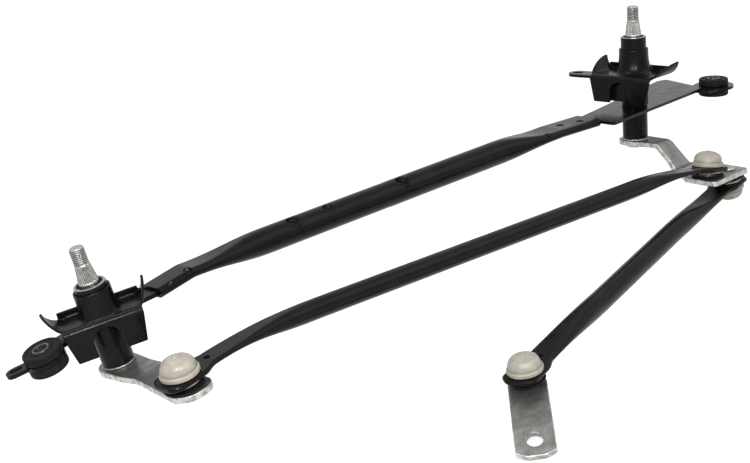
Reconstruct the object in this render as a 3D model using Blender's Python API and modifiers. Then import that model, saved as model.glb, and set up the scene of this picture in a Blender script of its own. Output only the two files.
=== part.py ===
"""Windshield wiper linkage.

A frame of one cross tube and two stamped saddles carries two pivot shafts.
A tie rod joins the levers of both shafts, and a drive rod runs from the right
lever to the crank that goes on the wiper motor.  Lengths are metres, +X runs
from the left pivot to the right one, +Z is up along the pivots, and the origin
is the centre of the left mounting grommet.
"""
import math

import bmesh
import bpy
import numpy as np
from mathutils import Matrix, Vector

# Fits
CONTACT_GAP = 0.0003
BALL_GAP = 0.0005

# Place of the two pivot axes, measured at the tops of the pivot tubes
PIVOT_SPACING = 0.5529
PIVOT_RISE = 0.004
PIVOT_SPLAY = math.radians(6.4)
PIVOT_SKEW = math.radians(1.85)

# Pivot tubes with their bushes and seals
PIVOT_TUBE_RADIUS = 0.0105
PIVOT_TUBE_WALL = 0.0019
LEFT_TUBE_LENGTH = 0.0555
RIGHT_TUBE_LENGTH = 0.0857
BUSH_LENGTH = 0.015
SEAL_DEPTH = 0.0006
SEAL_HEIGHT = 0.0026
WASHER_THICKNESS = 0.001
WASHER_RADIUS = 0.0108

# Pivot shafts
SHAFT_RADIUS = 0.006
SHAFT_STAND = 0.025
THREAD_RADIUS = 0.005
THREAD_LENGTH = 0.0122
TIP_CHAMFER = 0.0012
SPLINE_TOP_RADIUS = 0.0052
SPLINE_FOOT_RADIUS = 0.0065
SPLINE_LENGTH = 0.0078
SPLINE_COUNT = 20
SPLINE_DEPTH = 0.0005
CLIP_THICKNESS = 0.0012
CLIP_GROOVE_DEPTH = 0.0008
CLIP_MOUTH = 0.004
RIVET_LIP = 0.0024
RIVET_HEIGHT = 0.0018

# Levers: reaches run from the pivot axis towards the ball
LEVER_THICKNESS = 0.0042
LEVER_HEADING = math.radians(4.9)
LEVER_FOOT_RADIUS = 0.014
LEVER_BEND_RADIUS = 0.006
LEFT_LEVER_LENGTH = 0.080
LEFT_LEVER_RISE = 0.0015
LEFT_RISE_START = 0.020
LEFT_RISE_RUN = 0.016
LEFT_WAIST_REACH = 0.035
LEFT_WAIST_NEAR = 0.0124
LEFT_WAIST_FAR = 0.0097
LEFT_END_NEAR = 0.0126
LEFT_END_FAR = 0.0136
LEFT_END_OVERRUN = 0.0155
RIGHT_LEVER_LENGTH = 0.078
RIGHT_LEVER_DROP = 0.0208
RIGHT_DROP_START = 0.026
RIGHT_DROP_RUN = 0.013
RIGHT_NECK_NEAR = 0.0065
RIGHT_NECK_FAR = 0.013
RIGHT_SLOPE_SHIFT = 0.009
RIGHT_PAD_START = 0.065
RIGHT_PAD_MARGIN = 0.0133
RIGHT_PAD_OVERRUN = 0.0165
RIGHT_PAD_SKEW = 0.004
DRIVE_BALL_SPREAD = 0.0267
DRIVE_BALL_LEAD = 0.0013

# Ball joints: heights run from the ball's centre
BALL_RADIUS = 0.008
LEVER_BALL_HEIGHT = 0.0095
MOTOR_BALL_HEIGHT = 0.0108
STUD_NECK = 0.0042
STUD_FLANGE_RADIUS = 0.0072
STUD_FLANGE_HEIGHT = 0.0012
STUD_SHANK = 0.004
SOCKET_FLANGE_RADIUS = 0.01265
SOCKET_FLANGE_HEIGHT = 0.0035
SOCKET_DOME_RADIUS = 0.0106
SOCKET_DOME_HEIGHT = 0.0084
SOCKET_PIP_RADIUS = 0.0016
SOCKET_PIP_HEIGHT = 0.0006
SOCKET_NECK = 0.0099
SOCKET_LIP_RADIUS = 0.0112
SOCKET_LIP_HEIGHT = 0.0013
SOCKET_MOUTH_ANGLE = math.radians(60)
SOCKET_MOUTH_RADIUS = 0.0085
BOOT_RADIUS = 0.013
BOOT_HEIGHT = 0.0012
ROD_BOOT_HEIGHT = 0.0011

# Tie rod and drive rod: tubes pressed flat at both ends
TIE_ROD_DIAMETER = 0.0138
DRIVE_ROD_DIAMETER = 0.0163
ROD_WALL = 0.00145
ROD_END_WIDTH = 0.0264
ROD_END_THICKNESS = 0.0034
ROD_END_DEPTH = 0.001
ROD_END_OVERRUN = 0.0145
ROD_END_CHAMFER = 0.0055
ROD_HEAD_LENGTH = 0.009
ROD_NECK_SPREAD = 1.25
ROD_FLAT_LENGTH = 0.022
ROD_TAPER_LENGTH = 0.090
ROD_HOLLOW_START = 0.0205
ROD_BEND_START = 0.020
ROD_BEND_END = 0.075
ROD_HOLE_REACH = 0.021
ROD_HOLE_RADIUS = 0.0022
DRIVE_ROD_LENGTH = 0.351
DRIVE_ROD_HEADING = math.radians(192.2)
DRIVE_ROD_DIP = math.radians(0.25)
DRIVE_ROD_FAR_BEND = math.radians(3.5)
TIE_ROD_NEAR_BEND = math.radians(8)
TIE_ROD_FAR_BEND = math.radians(11.5)

# Motor crank: reaches run from its ball
CRANK_HEADING = math.radians(-136)
CRANK_TILT = math.radians(8)
CRANK_LENGTH = 0.060
CRANK_WIDTH = 0.0266
CRANK_THICKNESS = 0.0045
CRANK_BEND_SETBACK = 0.0103
CRANK_BEND = math.radians(15.5)
CRANK_BEND_RADIUS = 0.005
CRANK_START = 0.0125
CRANK_TAIL = 0.0135
CRANK_TAIL_BULGE = 0.0035
CRANK_HOLE_RADIUS = 0.0055

# Saddles: depths run down from the top of the pivot tube, reaches from its axis
SHEET = 0.0022
SADDLE_FOLD_RADIUS = 0.0032
SADDLE_BACK = 0.011
SADDLE_BACK_RISE = 0.0048
WING_FRONT = 0.0032
WING_BACK = 0.012
WING_LIFT = 0.0085
WING_LAP = 0.0012
ARCH_RADIUS = 0.0093
ARCH_CROWN = 0.0052
BOSS_RADIUS = 0.0122
BOSS_DEPTH = 0.010
BOSS_STRAIGHT = 0.004
LEFT_SADDLE_WIDTH = 0.0435
LEFT_SADDLE_REACH = 0.015
LEFT_SADDLE_DEPTH = 0.0205
LEFT_WALL_HEIGHT = 0.023
LEFT_SADDLE_YAW = math.radians(-38.5)
LEFT_BOSS_FOOT = 0.0146
RIGHT_SADDLE_WIDTH = 0.049
RIGHT_SADDLE_REACH = 0.024
RIGHT_SADDLE_DEPTH = 0.030
RIGHT_WALL_HEIGHT = 0.0225
RIGHT_SADDLE_YAW = math.radians(-80.3)
RIGHT_BOSS_FOOT = 0.017

# Slotted strap under the right saddle
STRAP_WIDTH = 0.016
STRAP_THICKNESS = 0.0025
STRAP_START = 0.012
STRAP_REACH = 0.058
STRAP_FORWARD = 0.006
STRAP_SLOT_LENGTH = 0.0095
STRAP_SLOT_WIDTH = 0.0062

# Cross tube, pressed over the tongues of the two mounting plates
TUBE_DIAMETER = 0.019
TUBE_WALL = 0.0017
TUBE_TAPER_LENGTH = 0.075
TONGUE_LAP = 0.019
LEFT_TUBE_START = 0.043
LEFT_TUBE_FLAT = 0.029
LEFT_TUBE_BACK = 0.0062
LEFT_TONGUE_WIDTH = 0.0155
RIGHT_TUBE_START = 0.060
RIGHT_TUBE_FLAT = 0.045
RIGHT_TUBE_BACK = 0.002
RIGHT_TONGUE_WIDTH = 0.021

# Left mounting arm
LEFT_ARM_THICKNESS = 0.003
LEFT_ARM_DEPTH = 0.030
LEFT_ARM_FRONT = 0.006
LEFT_ARM_REAR = 0.020
LEFT_ARM_BEND = 0.029
LEFT_ARM_DROOP = math.radians(6)
LEFT_GROMMET_REACH = 0.0424
LEFT_GROMMET_BACK = 0.007
LEFT_EYE_RADIUS = 0.0132
LEFT_EAR_REACH = 0.026
LEFT_EAR_HEADING = math.radians(152)
LEFT_EAR_WIDTH = 0.0098
LEFT_EAR_SLOT_LENGTH = 0.009
LEFT_EAR_SLOT_WIDTH = 0.0046

# Right mounting plate
PLATE_THICKNESS = 0.0025
PLATE_DEPTH = 0.0605
PLATE_START = 0.058
PLATE_FRONT = 0.0168
PLATE_FRONT_TURN = math.radians(7)
PLATE_FRONT_REACH = 0.089
PLATE_REAR = 0.0256
PLATE_REAR_TURN = math.radians(12.5)
PLATE_REAR_REACH = 0.093
PLATE_CORNER_CUT = 0.010
RIGHT_GROMMET_REACH = 0.1086
RIGHT_GROMMET_BACK = -0.0033
RIGHT_EYE_STEP = 0.0015
RIGHT_EYE_RADIUS = 0.0175
RIGHT_EYE_ARM = 0.013
RIGHT_EYE_LAP = 0.026

# Grommets
GROMMET_RADIUS = 0.0128
GROMMET_HEIGHT = 0.0148
GROMMET_WAIST = 0.0082
GROMMET_ROUND = 0.0016
SLEEVE_RADIUS = 0.0058
SLEEVE_WALL = 0.0015
SLEEVE_STAND = 0.0004

# Facets round turned pieces and steps along tapers and bends
FACETS = 24
SMALL_FACETS = 16
TUBE_FACETS = 16
TAPER_STEPS = 6
BEND_STEPS = 4

BLACK_PAINT = ("black_paint", (0.018, 0.018, 0.020), 0.35, 0.0)
ZINC = ("zinc_plate", (0.70, 0.69, 0.66), 0.35, 0.9)
NYLON = ("cream_nylon", (0.78, 0.73, 0.62), 0.45, 0.0)
RUBBER = ("black_rubber", (0.025, 0.025, 0.027), 0.7, 0.0)
BRONZE = ("bush_bronze", (0.45, 0.29, 0.13), 0.45, 0.9)

UP = Vector((0.0, 0.0, 1.0))


def clear_scene():
    """Start from an empty scene."""
    for item in list(bpy.data.objects):
        bpy.data.objects.remove(item, do_unlink=True)


def new_collection(name):
    """Add a collection to the scene."""
    collection = bpy.data.collections.new(name)
    bpy.context.scene.collection.children.link(collection)
    return collection


clear_scene()
PARTS = new_collection("windshield_wiper_linkage")
CUTTERS = new_collection("cutters")


def finish_material(finish):
    """The Principled material of a finish, made once."""
    name, colour, roughness, metallic = finish
    material = bpy.data.materials.get(name)
    if material is None:
        material = bpy.data.materials.new(name)
        material.use_nodes = True
        shader = material.node_tree.nodes["Principled BSDF"]
        shader.inputs["Base Color"].default_value = (*colour, 1.0)
        shader.inputs["Roughness"].default_value = roughness
        shader.inputs["Metallic"].default_value = metallic
    return material


def place(name, mesh, parent, finish):
    """Put a mesh under its parent: a part if it has a finish, a hidden shape if not."""
    item = bpy.data.objects.new(name, mesh)
    item.parent = parent
    if finish is None:
        CUTTERS.objects.link(item)
        item.hide_render = True
        item.display_type = 'WIRE'
    else:
        PARTS.objects.link(item)
        mesh.materials.append(finish_material(finish))
    return item


def frame_empty(name, matrix, parent=None):
    """An empty that carries pieces: a joint axis or a turned local frame."""
    empty = bpy.data.objects.new(name, None)
    empty.empty_display_size = 0.02
    PARTS.objects.link(empty)
    empty.parent = parent
    empty.matrix_basis = matrix
    return empty


def boolean(item, other, operation='DIFFERENCE'):
    """Cut a hidden shape from a piece, join it to the piece or keep what both hold."""
    modifier = item.modifiers.new(operation.lower(), 'BOOLEAN')
    modifier.operation = operation
    modifier.object = other
    modifier.solver = 'EXACT'


def close_mesh(mesh, work):
    """Weld a work mesh, turn its faces outwards and shade it smooth with its sharp edges kept."""
    bmesh.ops.remove_doubles(work, verts=work.verts, dist=0.000001)
    bmesh.ops.recalc_face_normals(work, faces=work.faces)
    work.to_mesh(mesh)
    work.free()
    mesh.shade_smooth()
    mesh.set_sharp_from_angle(angle=math.radians(40))


def turned(name, profile, parent, finish, facets=FACETS, closed=False):
    """Spin (radius, height) points, listed top to bottom down the outer side, about local Z."""
    mesh = bpy.data.meshes.new(name)
    edges = [(i, i + 1) for i in range(len(profile) - 1)]
    if closed:
        edges.append((len(profile) - 1, 0))
    mesh.from_pydata([(radius, 0.0, height) for radius, height in profile], edges, [])
    item = place(name, mesh, parent, finish)
    screw = item.modifiers.new("spin", 'SCREW')
    screw.axis = 'Z'
    screw.steps = facets
    screw.render_steps = facets
    screw.use_merge_vertices = True
    screw.merge_threshold = 0.00001
    screw.use_smooth_shade = True
    return item


def ring(name, inner, outer, bottom, top, parent, finish, facets=FACETS):
    """A plain ring between two radii and two heights."""
    profile = [(outer, top), (outer, bottom), (inner, bottom), (inner, top)]
    return turned(name, profile, parent, finish, facets, closed=True)


def cylinder(name, radius, bottom, top, parent, at=(0.0, 0.0), facets=FACETS):
    """A hidden round shape along local Z."""
    mesh = bpy.data.meshes.new(name)
    work = bmesh.new()
    middle = Matrix.Translation((at[0], at[1], (bottom + top) / 2))
    bmesh.ops.create_cone(work, cap_ends=True, segments=facets, radius1=radius, radius2=radius,
                          depth=top - bottom, matrix=middle)
    work.to_mesh(mesh)
    work.free()
    return place(name, mesh, parent, None)


def block(name, low, high, parent):
    """A hidden box between two corners."""
    mesh = bpy.data.meshes.new(name)
    work = bmesh.new()
    size = Vector(high) - Vector(low)
    middle = (Vector(high) + Vector(low)) / 2
    bmesh.ops.create_cube(work, size=1.0, matrix=Matrix.Translation(middle) @ Matrix.Diagonal((*size, 1.0)))
    work.to_mesh(mesh)
    work.free()
    return place(name, mesh, parent, None)


def arc(centre, radius, start, end, steps):
    """Points on an arc between two angles in radians, ends included."""
    angles = np.linspace(start, end, steps + 1)
    return [(centre[0] + radius * math.cos(a), centre[1] + radius * math.sin(a)) for a in angles]


def rounded(corners, closed=True, steps=BEND_STEPS):
    """A line through (x, y, radius) corners with each corner rounded as far as its sides allow."""
    points = [np.array(corner[:2]) for corner in corners]
    count = len(points)
    line = []
    for i, (x, y, radius) in enumerate(corners):
        if radius == 0.0 or (not closed and i in (0, count - 1)):
            line.append((x, y))
            continue
        back = points[i - 1] - points[i]
        ahead = points[(i + 1) % count] - points[i]
        room = 0.49 * min(np.linalg.norm(back), np.linalg.norm(ahead))
        back = back / np.linalg.norm(back)
        ahead = ahead / np.linalg.norm(ahead)
        half = math.acos(max(-1.0, min(1.0, float(back @ ahead)))) / 2
        setback = min(radius / math.tan(half), room)
        reach = setback / math.cos(half)
        middle = points[i] + (back + ahead) / np.linalg.norm(back + ahead) * reach
        first = points[i] + back * setback - middle
        last = points[i] + ahead * setback - middle
        start = math.atan2(first[1], first[0])
        sweep_angle = math.atan2(first[0] * last[1] - first[1] * last[0], float(first @ last))
        line += arc(middle, float(np.linalg.norm(first)), start, start + sweep_angle, steps)
    return line


def slot_outline(centre, heading, length, width):
    """A round-ended slot along a heading."""
    reach = (length - width) / 2
    step = np.array([math.cos(heading), math.sin(heading)]) * reach
    quarter = math.pi / 2
    front = arc(np.array(centre) + step, width / 2, heading - quarter, heading + quarter, 6)
    back = arc(np.array(centre) - step, width / 2, heading + quarter, heading + 3 * quarter, 6)
    return front + back


def extruded(name, outline, bottom, top, parent, finish, turn=None):
    """A flat outline with thickness: a filled 2D curve, kept as a closed mesh."""
    curve = bpy.data.curves.new(name + "_outline", 'CURVE')
    curve.dimensions = '2D'
    curve.fill_mode = 'BOTH'
    curve.extrude = (top - bottom) / 2
    spline = curve.splines.new('POLY')
    spline.points.add(len(outline) - 1)
    for point, (x, y) in zip(spline.points, outline):
        point.co = (x, y, 0.0, 1.0)
    spline.use_cyclic_u = True
    source = bpy.data.objects.new(name + "_outline", curve)
    CUTTERS.objects.link(source)
    graph = bpy.context.evaluated_depsgraph_get()
    mesh = bpy.data.meshes.new_from_object(source.evaluated_get(graph))
    bpy.data.objects.remove(source, do_unlink=True)
    work = bmesh.new()
    work.from_mesh(mesh)
    bmesh.ops.translate(work, verts=work.verts, vec=(0, 0, (bottom + top) / 2))
    if turn is not None:
        bmesh.ops.transform(work, verts=work.verts, matrix=turn)
    close_mesh(mesh, work)
    mesh.name = name
    return place(name, mesh, parent, finish)


def ribbon(line, thickness):
    """The outline of a strip of even thickness about a centre line."""
    points = np.array(line)
    ahead = np.diff(points, axis=0)
    ahead /= np.linalg.norm(ahead, axis=1)[:, None]
    before = np.vstack([ahead[:1], ahead])
    after = np.vstack([ahead, ahead[-1:]])
    mean = before + after
    mean /= np.linalg.norm(mean, axis=1)[:, None]
    widen = thickness / 2 / np.sum(mean * after, axis=1)
    normal = np.stack([-mean[:, 1], mean[:, 0]], axis=1) * widen[:, None]
    return [tuple(p) for p in points + normal] + [tuple(p) for p in (points - normal)[::-1]]


def bent_plate(name, line, thickness, outline, parent, finish):
    """A plate bent along a (reach, height) line and cut to a flat (reach, side) outline."""
    sides = [side for reach, side in outline]
    heights = [height for reach, height in line]
    upright = Matrix(((1, 0, 0, 0), (0, 0, -1, 0), (0, 1, 0, 0), (0, 0, 0, 1)))
    plate = extruded(name, ribbon(line, thickness), -max(sides) - thickness, thickness - min(sides),
                     parent, finish, turn=upright)
    plan = extruded(name + "_plan", outline, min(heights) - 2 * thickness, max(heights) + 2 * thickness, parent, None)
    boolean(plate, plan, 'INTERSECT')
    return plate


def skin(name, rings, parent, finish, inner=None):
    """Join rows of points, each a closed loop, into one body: capped, or open with an inner wall."""
    count = len(rings[0])
    last = len(rings) - 1
    points = np.concatenate(list(rings) + list(inner or []))
    base = len(rings) * count
    faces = []
    for k in range(count):
        n = (k + 1) % count
        for row in range(last):
            low = row * count
            faces.append((low + k, low + n, low + count + n, low + count + k))
            if inner is not None:
                low += base
                faces.append((low + n, low + k, low + count + k, low + count + n))
        if inner is not None:
            tail = last * count
            faces.append((n, k, base + k, base + n))
            faces.append((tail + k, tail + n, base + tail + n, base + tail + k))
    if inner is None:
        faces.append(tuple(range(count)))
        faces.append(tuple(last * count + k for k in range(count)))
    mesh = bpy.data.meshes.new(name)
    mesh.from_pydata([tuple(p) for p in points], [], faces)
    work = bmesh.new()
    work.from_mesh(mesh)
    close_mesh(mesh, work)
    return place(name, mesh, parent, finish)


def stadium(width, height):
    """A pressed tube's section: two faceted half circles with flats between them."""
    angles = (np.arange(TUBE_FACETS) + 0.5) * 2 * math.pi / TUBE_FACETS
    radius = height / 2 / math.cos(math.pi / TUBE_FACETS)
    side = (width - height) / 2 * np.sign(np.cos(angles)) + radius * np.cos(angles)
    return np.stack([side, radius * np.sin(angles)], axis=1)


def sweep(stations):
    """Rings of a tube along stations of (centre, up, width, height)."""
    centres = np.array([station[0] for station in stations])
    along = np.gradient(centres, axis=0)
    along /= np.linalg.norm(along, axis=1)[:, None]
    rings = []
    for (centre, up, width, height), ahead in zip(stations, along):
        side = np.cross(up, ahead)
        side /= np.linalg.norm(side)
        section = stadium(width, height)
        rings.append(np.array(centre) + section[:, :1] * side + section[:, 1:] * np.cross(ahead, side))
    return rings


def ease(share):
    """A smooth step from 0 to 1."""
    return share * share * (3 - 2 * share)


def late_ease(share):
    """A smooth step from 0 to 1 that starts and ends more gently."""
    return share ** 3 * (6 * share * share - 15 * share + 10)


def pivot_matrices():
    """World frames of both pivots: Z up the axis, origin at the top of the tube."""
    left_turn = Matrix.Rotation(-PIVOT_SKEW, 4, 'X') @ Matrix.Rotation(-PIVOT_SPLAY, 4, 'Y')
    right_turn = Matrix.Rotation(PIVOT_SKEW, 4, 'X') @ Matrix.Rotation(PIVOT_SPLAY, 4, 'Y')
    left_place = -(left_turn @ left_eye_matrix().translation)
    right_place = left_place + Vector((PIVOT_SPACING, 0.0, PIVOT_RISE))
    return Matrix.Translation(left_place) @ left_turn, Matrix.Translation(right_place) @ right_turn


def left_eye_matrix():
    """The left grommet's frame in the left pivot's: past the arm's bend and drooping with it."""
    bend = Matrix.Translation((-LEFT_ARM_BEND, 0.0, -LEFT_ARM_DEPTH)) @ Matrix.Rotation(-LEFT_ARM_DROOP, 4, 'Y')
    return bend @ Matrix.Translation((LEFT_ARM_BEND - LEFT_GROMMET_REACH, LEFT_GROMMET_BACK, 0.0))


LEFT_PIVOT, RIGHT_PIVOT = pivot_matrices()
BORE_RADIUS = PIVOT_TUBE_RADIUS - PIVOT_TUBE_WALL
TUBE_HOLE_RADIUS = PIVOT_TUBE_RADIUS + CONTACT_GAP
CLIP_TOP = -SEAL_DEPTH - SEAL_HEIGHT - CONTACT_GAP
CLIP_FOOT = CLIP_TOP - CLIP_THICKNESS
LEFT_LEVER_TOP = -LEFT_TUBE_LENGTH - WASHER_THICKNESS - 2 * CONTACT_GAP
RIGHT_LEVER_TOP = -RIGHT_TUBE_LENGTH - WASHER_THICKNESS - 2 * CONTACT_GAP
LEFT_PAD_TOP = LEFT_LEVER_TOP + LEFT_LEVER_RISE
RIGHT_PAD_TOP = RIGHT_LEVER_TOP - RIGHT_LEVER_DROP
ROD_MIDDLE = -ROD_END_DEPTH - ROD_END_THICKNESS / 2


def pivot_shaft(name, lever_top, parent):
    """Threaded end, splined taper, clip groove, journal and the riveted foot under the lever."""
    spline_top = SHAFT_STAND - THREAD_LENGTH
    spline_foot = spline_top - SPLINE_LENGTH
    groove = SHAFT_RADIUS - CLIP_GROOVE_DEPTH
    foot = lever_top - LEVER_THICKNESS - CONTACT_GAP
    profile = [
        (0.0, SHAFT_STAND),
        (THREAD_RADIUS - TIP_CHAMFER, SHAFT_STAND),
        (THREAD_RADIUS, SHAFT_STAND - TIP_CHAMFER),
        (THREAD_RADIUS, spline_top),
        (SPLINE_TOP_RADIUS - SPLINE_DEPTH, spline_top),
        (SPLINE_FOOT_RADIUS - SPLINE_DEPTH, spline_foot),
        (SPLINE_FOOT_RADIUS, spline_foot - SPLINE_DEPTH),
        (SPLINE_FOOT_RADIUS, CONTACT_GAP),
        (SHAFT_RADIUS, 0.0),
        (SHAFT_RADIUS, CLIP_TOP + CONTACT_GAP),
        (groove, CLIP_TOP + CONTACT_GAP),
        (groove, CLIP_FOOT - CONTACT_GAP),
        (SHAFT_RADIUS, CLIP_FOOT - CONTACT_GAP),
        (SHAFT_RADIUS, foot),
        (SHAFT_RADIUS + RIVET_LIP, foot),
        (SHAFT_RADIUS + RIVET_LIP / 2, foot - RIVET_HEIGHT),
        (0.0, foot - RIVET_HEIGHT),
    ]
    shaft = turned(name, profile, parent, ZINC)
    angles = np.arange(2 * SPLINE_COUNT) * math.pi / SPLINE_COUNT
    notch = np.where(np.arange(2 * SPLINE_COUNT) % 2 == 0, 0.0, 1.4 * SPLINE_DEPTH)
    rings = []
    for radius, height in ((SPLINE_FOOT_RADIUS, spline_foot), (SPLINE_TOP_RADIUS, spline_top)):
        edge = radius - notch
        rings.append(np.stack([edge * np.cos(angles), edge * np.sin(angles), 0 * edge + height], axis=1))
    boolean(shaft, skin(name + "_splines", rings, parent, None), 'UNION')


def retaining_ring(name, parent):
    """An open spring ring in the shaft's groove."""
    inner = SHAFT_RADIUS - CLIP_GROOVE_DEPTH + CONTACT_GAP
    outer = BORE_RADIUS - 2 * CONTACT_GAP
    clip = ring(name, inner, outer, CLIP_FOOT, CLIP_TOP, parent, ZINC)
    mouth = block(name + "_mouth", (0.0, -CLIP_MOUTH / 2, CLIP_FOOT - CLIP_THICKNESS),
                  (2 * outer, CLIP_MOUTH / 2, CLIP_TOP + CLIP_THICKNESS), parent)
    boolean(clip, mouth)


def pivot_stack(side, tube_length, lever_top, fixed, moving):
    """Tube, bushes and seal of the frame, with the shaft, clip and washer that turn in them."""
    outer = BORE_RADIUS - CONTACT_GAP
    inner = SHAFT_RADIUS + CONTACT_GAP
    bush_top = CLIP_FOOT - CONTACT_GAP
    ring(side + "_pivot_tube", BORE_RADIUS, PIVOT_TUBE_RADIUS, -tube_length, 0.0, fixed, BLACK_PAINT)
    ring(side + "_upper_bush", inner, outer, bush_top - BUSH_LENGTH, bush_top, fixed, BRONZE)
    ring(side + "_lower_bush", inner, outer, -tube_length, BUSH_LENGTH - tube_length, fixed, BRONZE)
    ring(side + "_shaft_seal", inner, outer, -SEAL_DEPTH - SEAL_HEIGHT, -SEAL_DEPTH, fixed, RUBBER)
    retaining_ring(side + "_retaining_ring", moving)
    washer_foot = lever_top + CONTACT_GAP
    ring(side + "_thrust_washer", inner, WASHER_RADIUS, washer_foot, washer_foot + WASHER_THICKNESS, moving, ZINC)
    pivot_shaft(side + "_pivot_shaft", lever_top, moving)


def lever_holes(lever, holes, top, parent):
    """Cut the shaft and stud holes of a lever, given as (reach, side, radius)."""
    for number, (reach, side, radius) in enumerate(holes):
        cutter = cylinder(f"{lever.name}_hole_{number}", radius + CONTACT_GAP, -1.5 * RIGHT_TUBE_LENGTH,
                          top + LEVER_THICKNESS, parent, at=(reach, side), facets=SMALL_FACETS)
        boolean(lever, cutter)


def lever_ball(length):
    """Reach and side of a lever's main ball."""
    return length * math.cos(LEVER_HEADING), -length * math.sin(LEVER_HEADING)


def left_lever(parent):
    """A flat lever with a slight rise, a waist and an end cut round its ball."""
    reach, side = lever_ball(LEFT_LEVER_LENGTH)
    foot = LEVER_FOOT_RADIUS
    middle = LEFT_LEVER_TOP - LEVER_THICKNESS / 2
    end = reach + LEFT_END_OVERRUN
    line = rounded([
        (-2 * foot, middle, 0.0),
        (LEFT_RISE_START, middle, LEVER_BEND_RADIUS),
        (LEFT_RISE_START + LEFT_RISE_RUN, middle + LEFT_LEVER_RISE, LEVER_BEND_RADIUS),
        (end + foot, middle + LEFT_LEVER_RISE, 0.0),
    ], closed=False)
    outline = rounded([
        (-foot, -foot, foot),
        (LEFT_WAIST_REACH, -LEFT_WAIST_NEAR, 2 * foot),
        (reach + LEVER_THICKNESS, side - LEFT_END_NEAR, LEVER_THICKNESS / 4),
        (end, side - LEFT_END_NEAR / 2, LEFT_END_NEAR),
        (end, side + LEFT_END_FAR, LEFT_END_FAR),
        (LEFT_WAIST_REACH, LEFT_WAIST_FAR, 2 * foot),
        (-foot, foot, foot),
    ])
    lever = bent_plate("left_lever", line, LEVER_THICKNESS, outline, parent, ZINC)
    lever_holes(lever, [(0.0, 0.0, SHAFT_RADIUS), (reach, side, STUD_SHANK)], LEFT_PAD_TOP, parent)


def right_lever(parent):
    """A lever that steps down from its pivot to a broad pad for two balls."""
    reach, side = lever_ball(RIGHT_LEVER_LENGTH)
    far = side + DRIVE_BALL_SPREAD
    foot = LEVER_FOOT_RADIUS
    middle = RIGHT_LEVER_TOP - LEVER_THICKNESS / 2
    bottom = RIGHT_DROP_START + RIGHT_DROP_RUN
    end = reach + RIGHT_PAD_OVERRUN
    line = rounded([
        (-2 * foot, middle, 0.0),
        (RIGHT_DROP_START, middle, LEVER_BEND_RADIUS),
        (bottom, middle - RIGHT_LEVER_DROP, LEVER_BEND_RADIUS),
        (end + foot, middle - RIGHT_LEVER_DROP, 0.0),
    ], closed=False)
    corner = LEVER_THICKNESS
    outline = rounded([
        (-foot, -foot, foot),
        (RIGHT_DROP_START, -RIGHT_NECK_NEAR, foot),
        (bottom, RIGHT_SLOPE_SHIFT - RIGHT_NECK_NEAR, foot),
        (RIGHT_PAD_START, side - RIGHT_PAD_MARGIN, corner),
        (end, side - RIGHT_PAD_MARGIN, corner),
        (end - RIGHT_PAD_SKEW, far + RIGHT_PAD_MARGIN, corner),
        (RIGHT_PAD_START, far + RIGHT_PAD_MARGIN, 2 * corner),
        (bottom + corner, RIGHT_SLOPE_SHIFT + RIGHT_NECK_FAR + corner, foot),
        (RIGHT_DROP_START, RIGHT_NECK_FAR, foot),
        (-foot, foot, foot),
    ])
    lever = bent_plate("right_lever", line, LEVER_THICKNESS, outline, parent, ZINC)
    holes = [(0.0, 0.0, SHAFT_RADIUS), (reach, side, STUD_SHANK), (reach + DRIVE_BALL_LEAD, far, STUD_SHANK)]
    lever_holes(lever, holes, RIGHT_LEVER_TOP, parent)


def ball_stud(name, height, plate, parent):
    """A ball on a neck, a flange on the plate and a shank riveted under it; origin at the ball's centre."""
    neck = math.asin(STUD_NECK / BALL_RADIUS)
    angles = np.linspace(0.0, math.pi - neck, 7)[1:]
    seat = CONTACT_GAP - height
    tail = -height - plate - CONTACT_GAP
    profile = [(0.0, BALL_RADIUS)]
    profile += [(BALL_RADIUS * math.sin(a), BALL_RADIUS * math.cos(a)) for a in angles]
    if seat + STUD_FLANGE_HEIGHT < profile[-1][1] - CONTACT_GAP:
        profile.append((STUD_NECK, seat + STUD_FLANGE_HEIGHT))
    profile += [
        (STUD_FLANGE_RADIUS, seat + STUD_FLANGE_HEIGHT),
        (STUD_FLANGE_RADIUS, seat),
        (STUD_SHANK, seat),
        (STUD_SHANK, tail),
        (STUD_SHANK + RIVET_LIP, tail),
        (STUD_SHANK + RIVET_LIP / 2, tail - RIVET_HEIGHT),
        (0.0, tail - RIVET_HEIGHT),
    ]
    turned(name, profile, parent, ZINC, facets=SMALL_FACETS)


def ball_boot(name, height, parent):
    """A soft dust ring on the plate round a stud's flange, with a grooved rim."""
    low = CONTACT_GAP - height
    inner = STUD_FLANGE_RADIUS + CONTACT_GAP
    profile = [
        (BOOT_RADIUS, low + BOOT_HEIGHT),
        (BOOT_RADIUS - BOOT_HEIGHT / 3, low + BOOT_HEIGHT / 2),
        (BOOT_RADIUS, low),
        (inner, low),
        (inner, low + BOOT_HEIGHT),
    ]
    turned(name, profile, parent, RUBBER, facets=TUBE_FACETS, closed=True)


def socket_lip_foot():
    """Height of a socket's lower end, snapped through the rod end."""
    return -ROD_END_DEPTH - ROD_END_THICKNESS - CONTACT_GAP - SOCKET_LIP_HEIGHT


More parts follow.
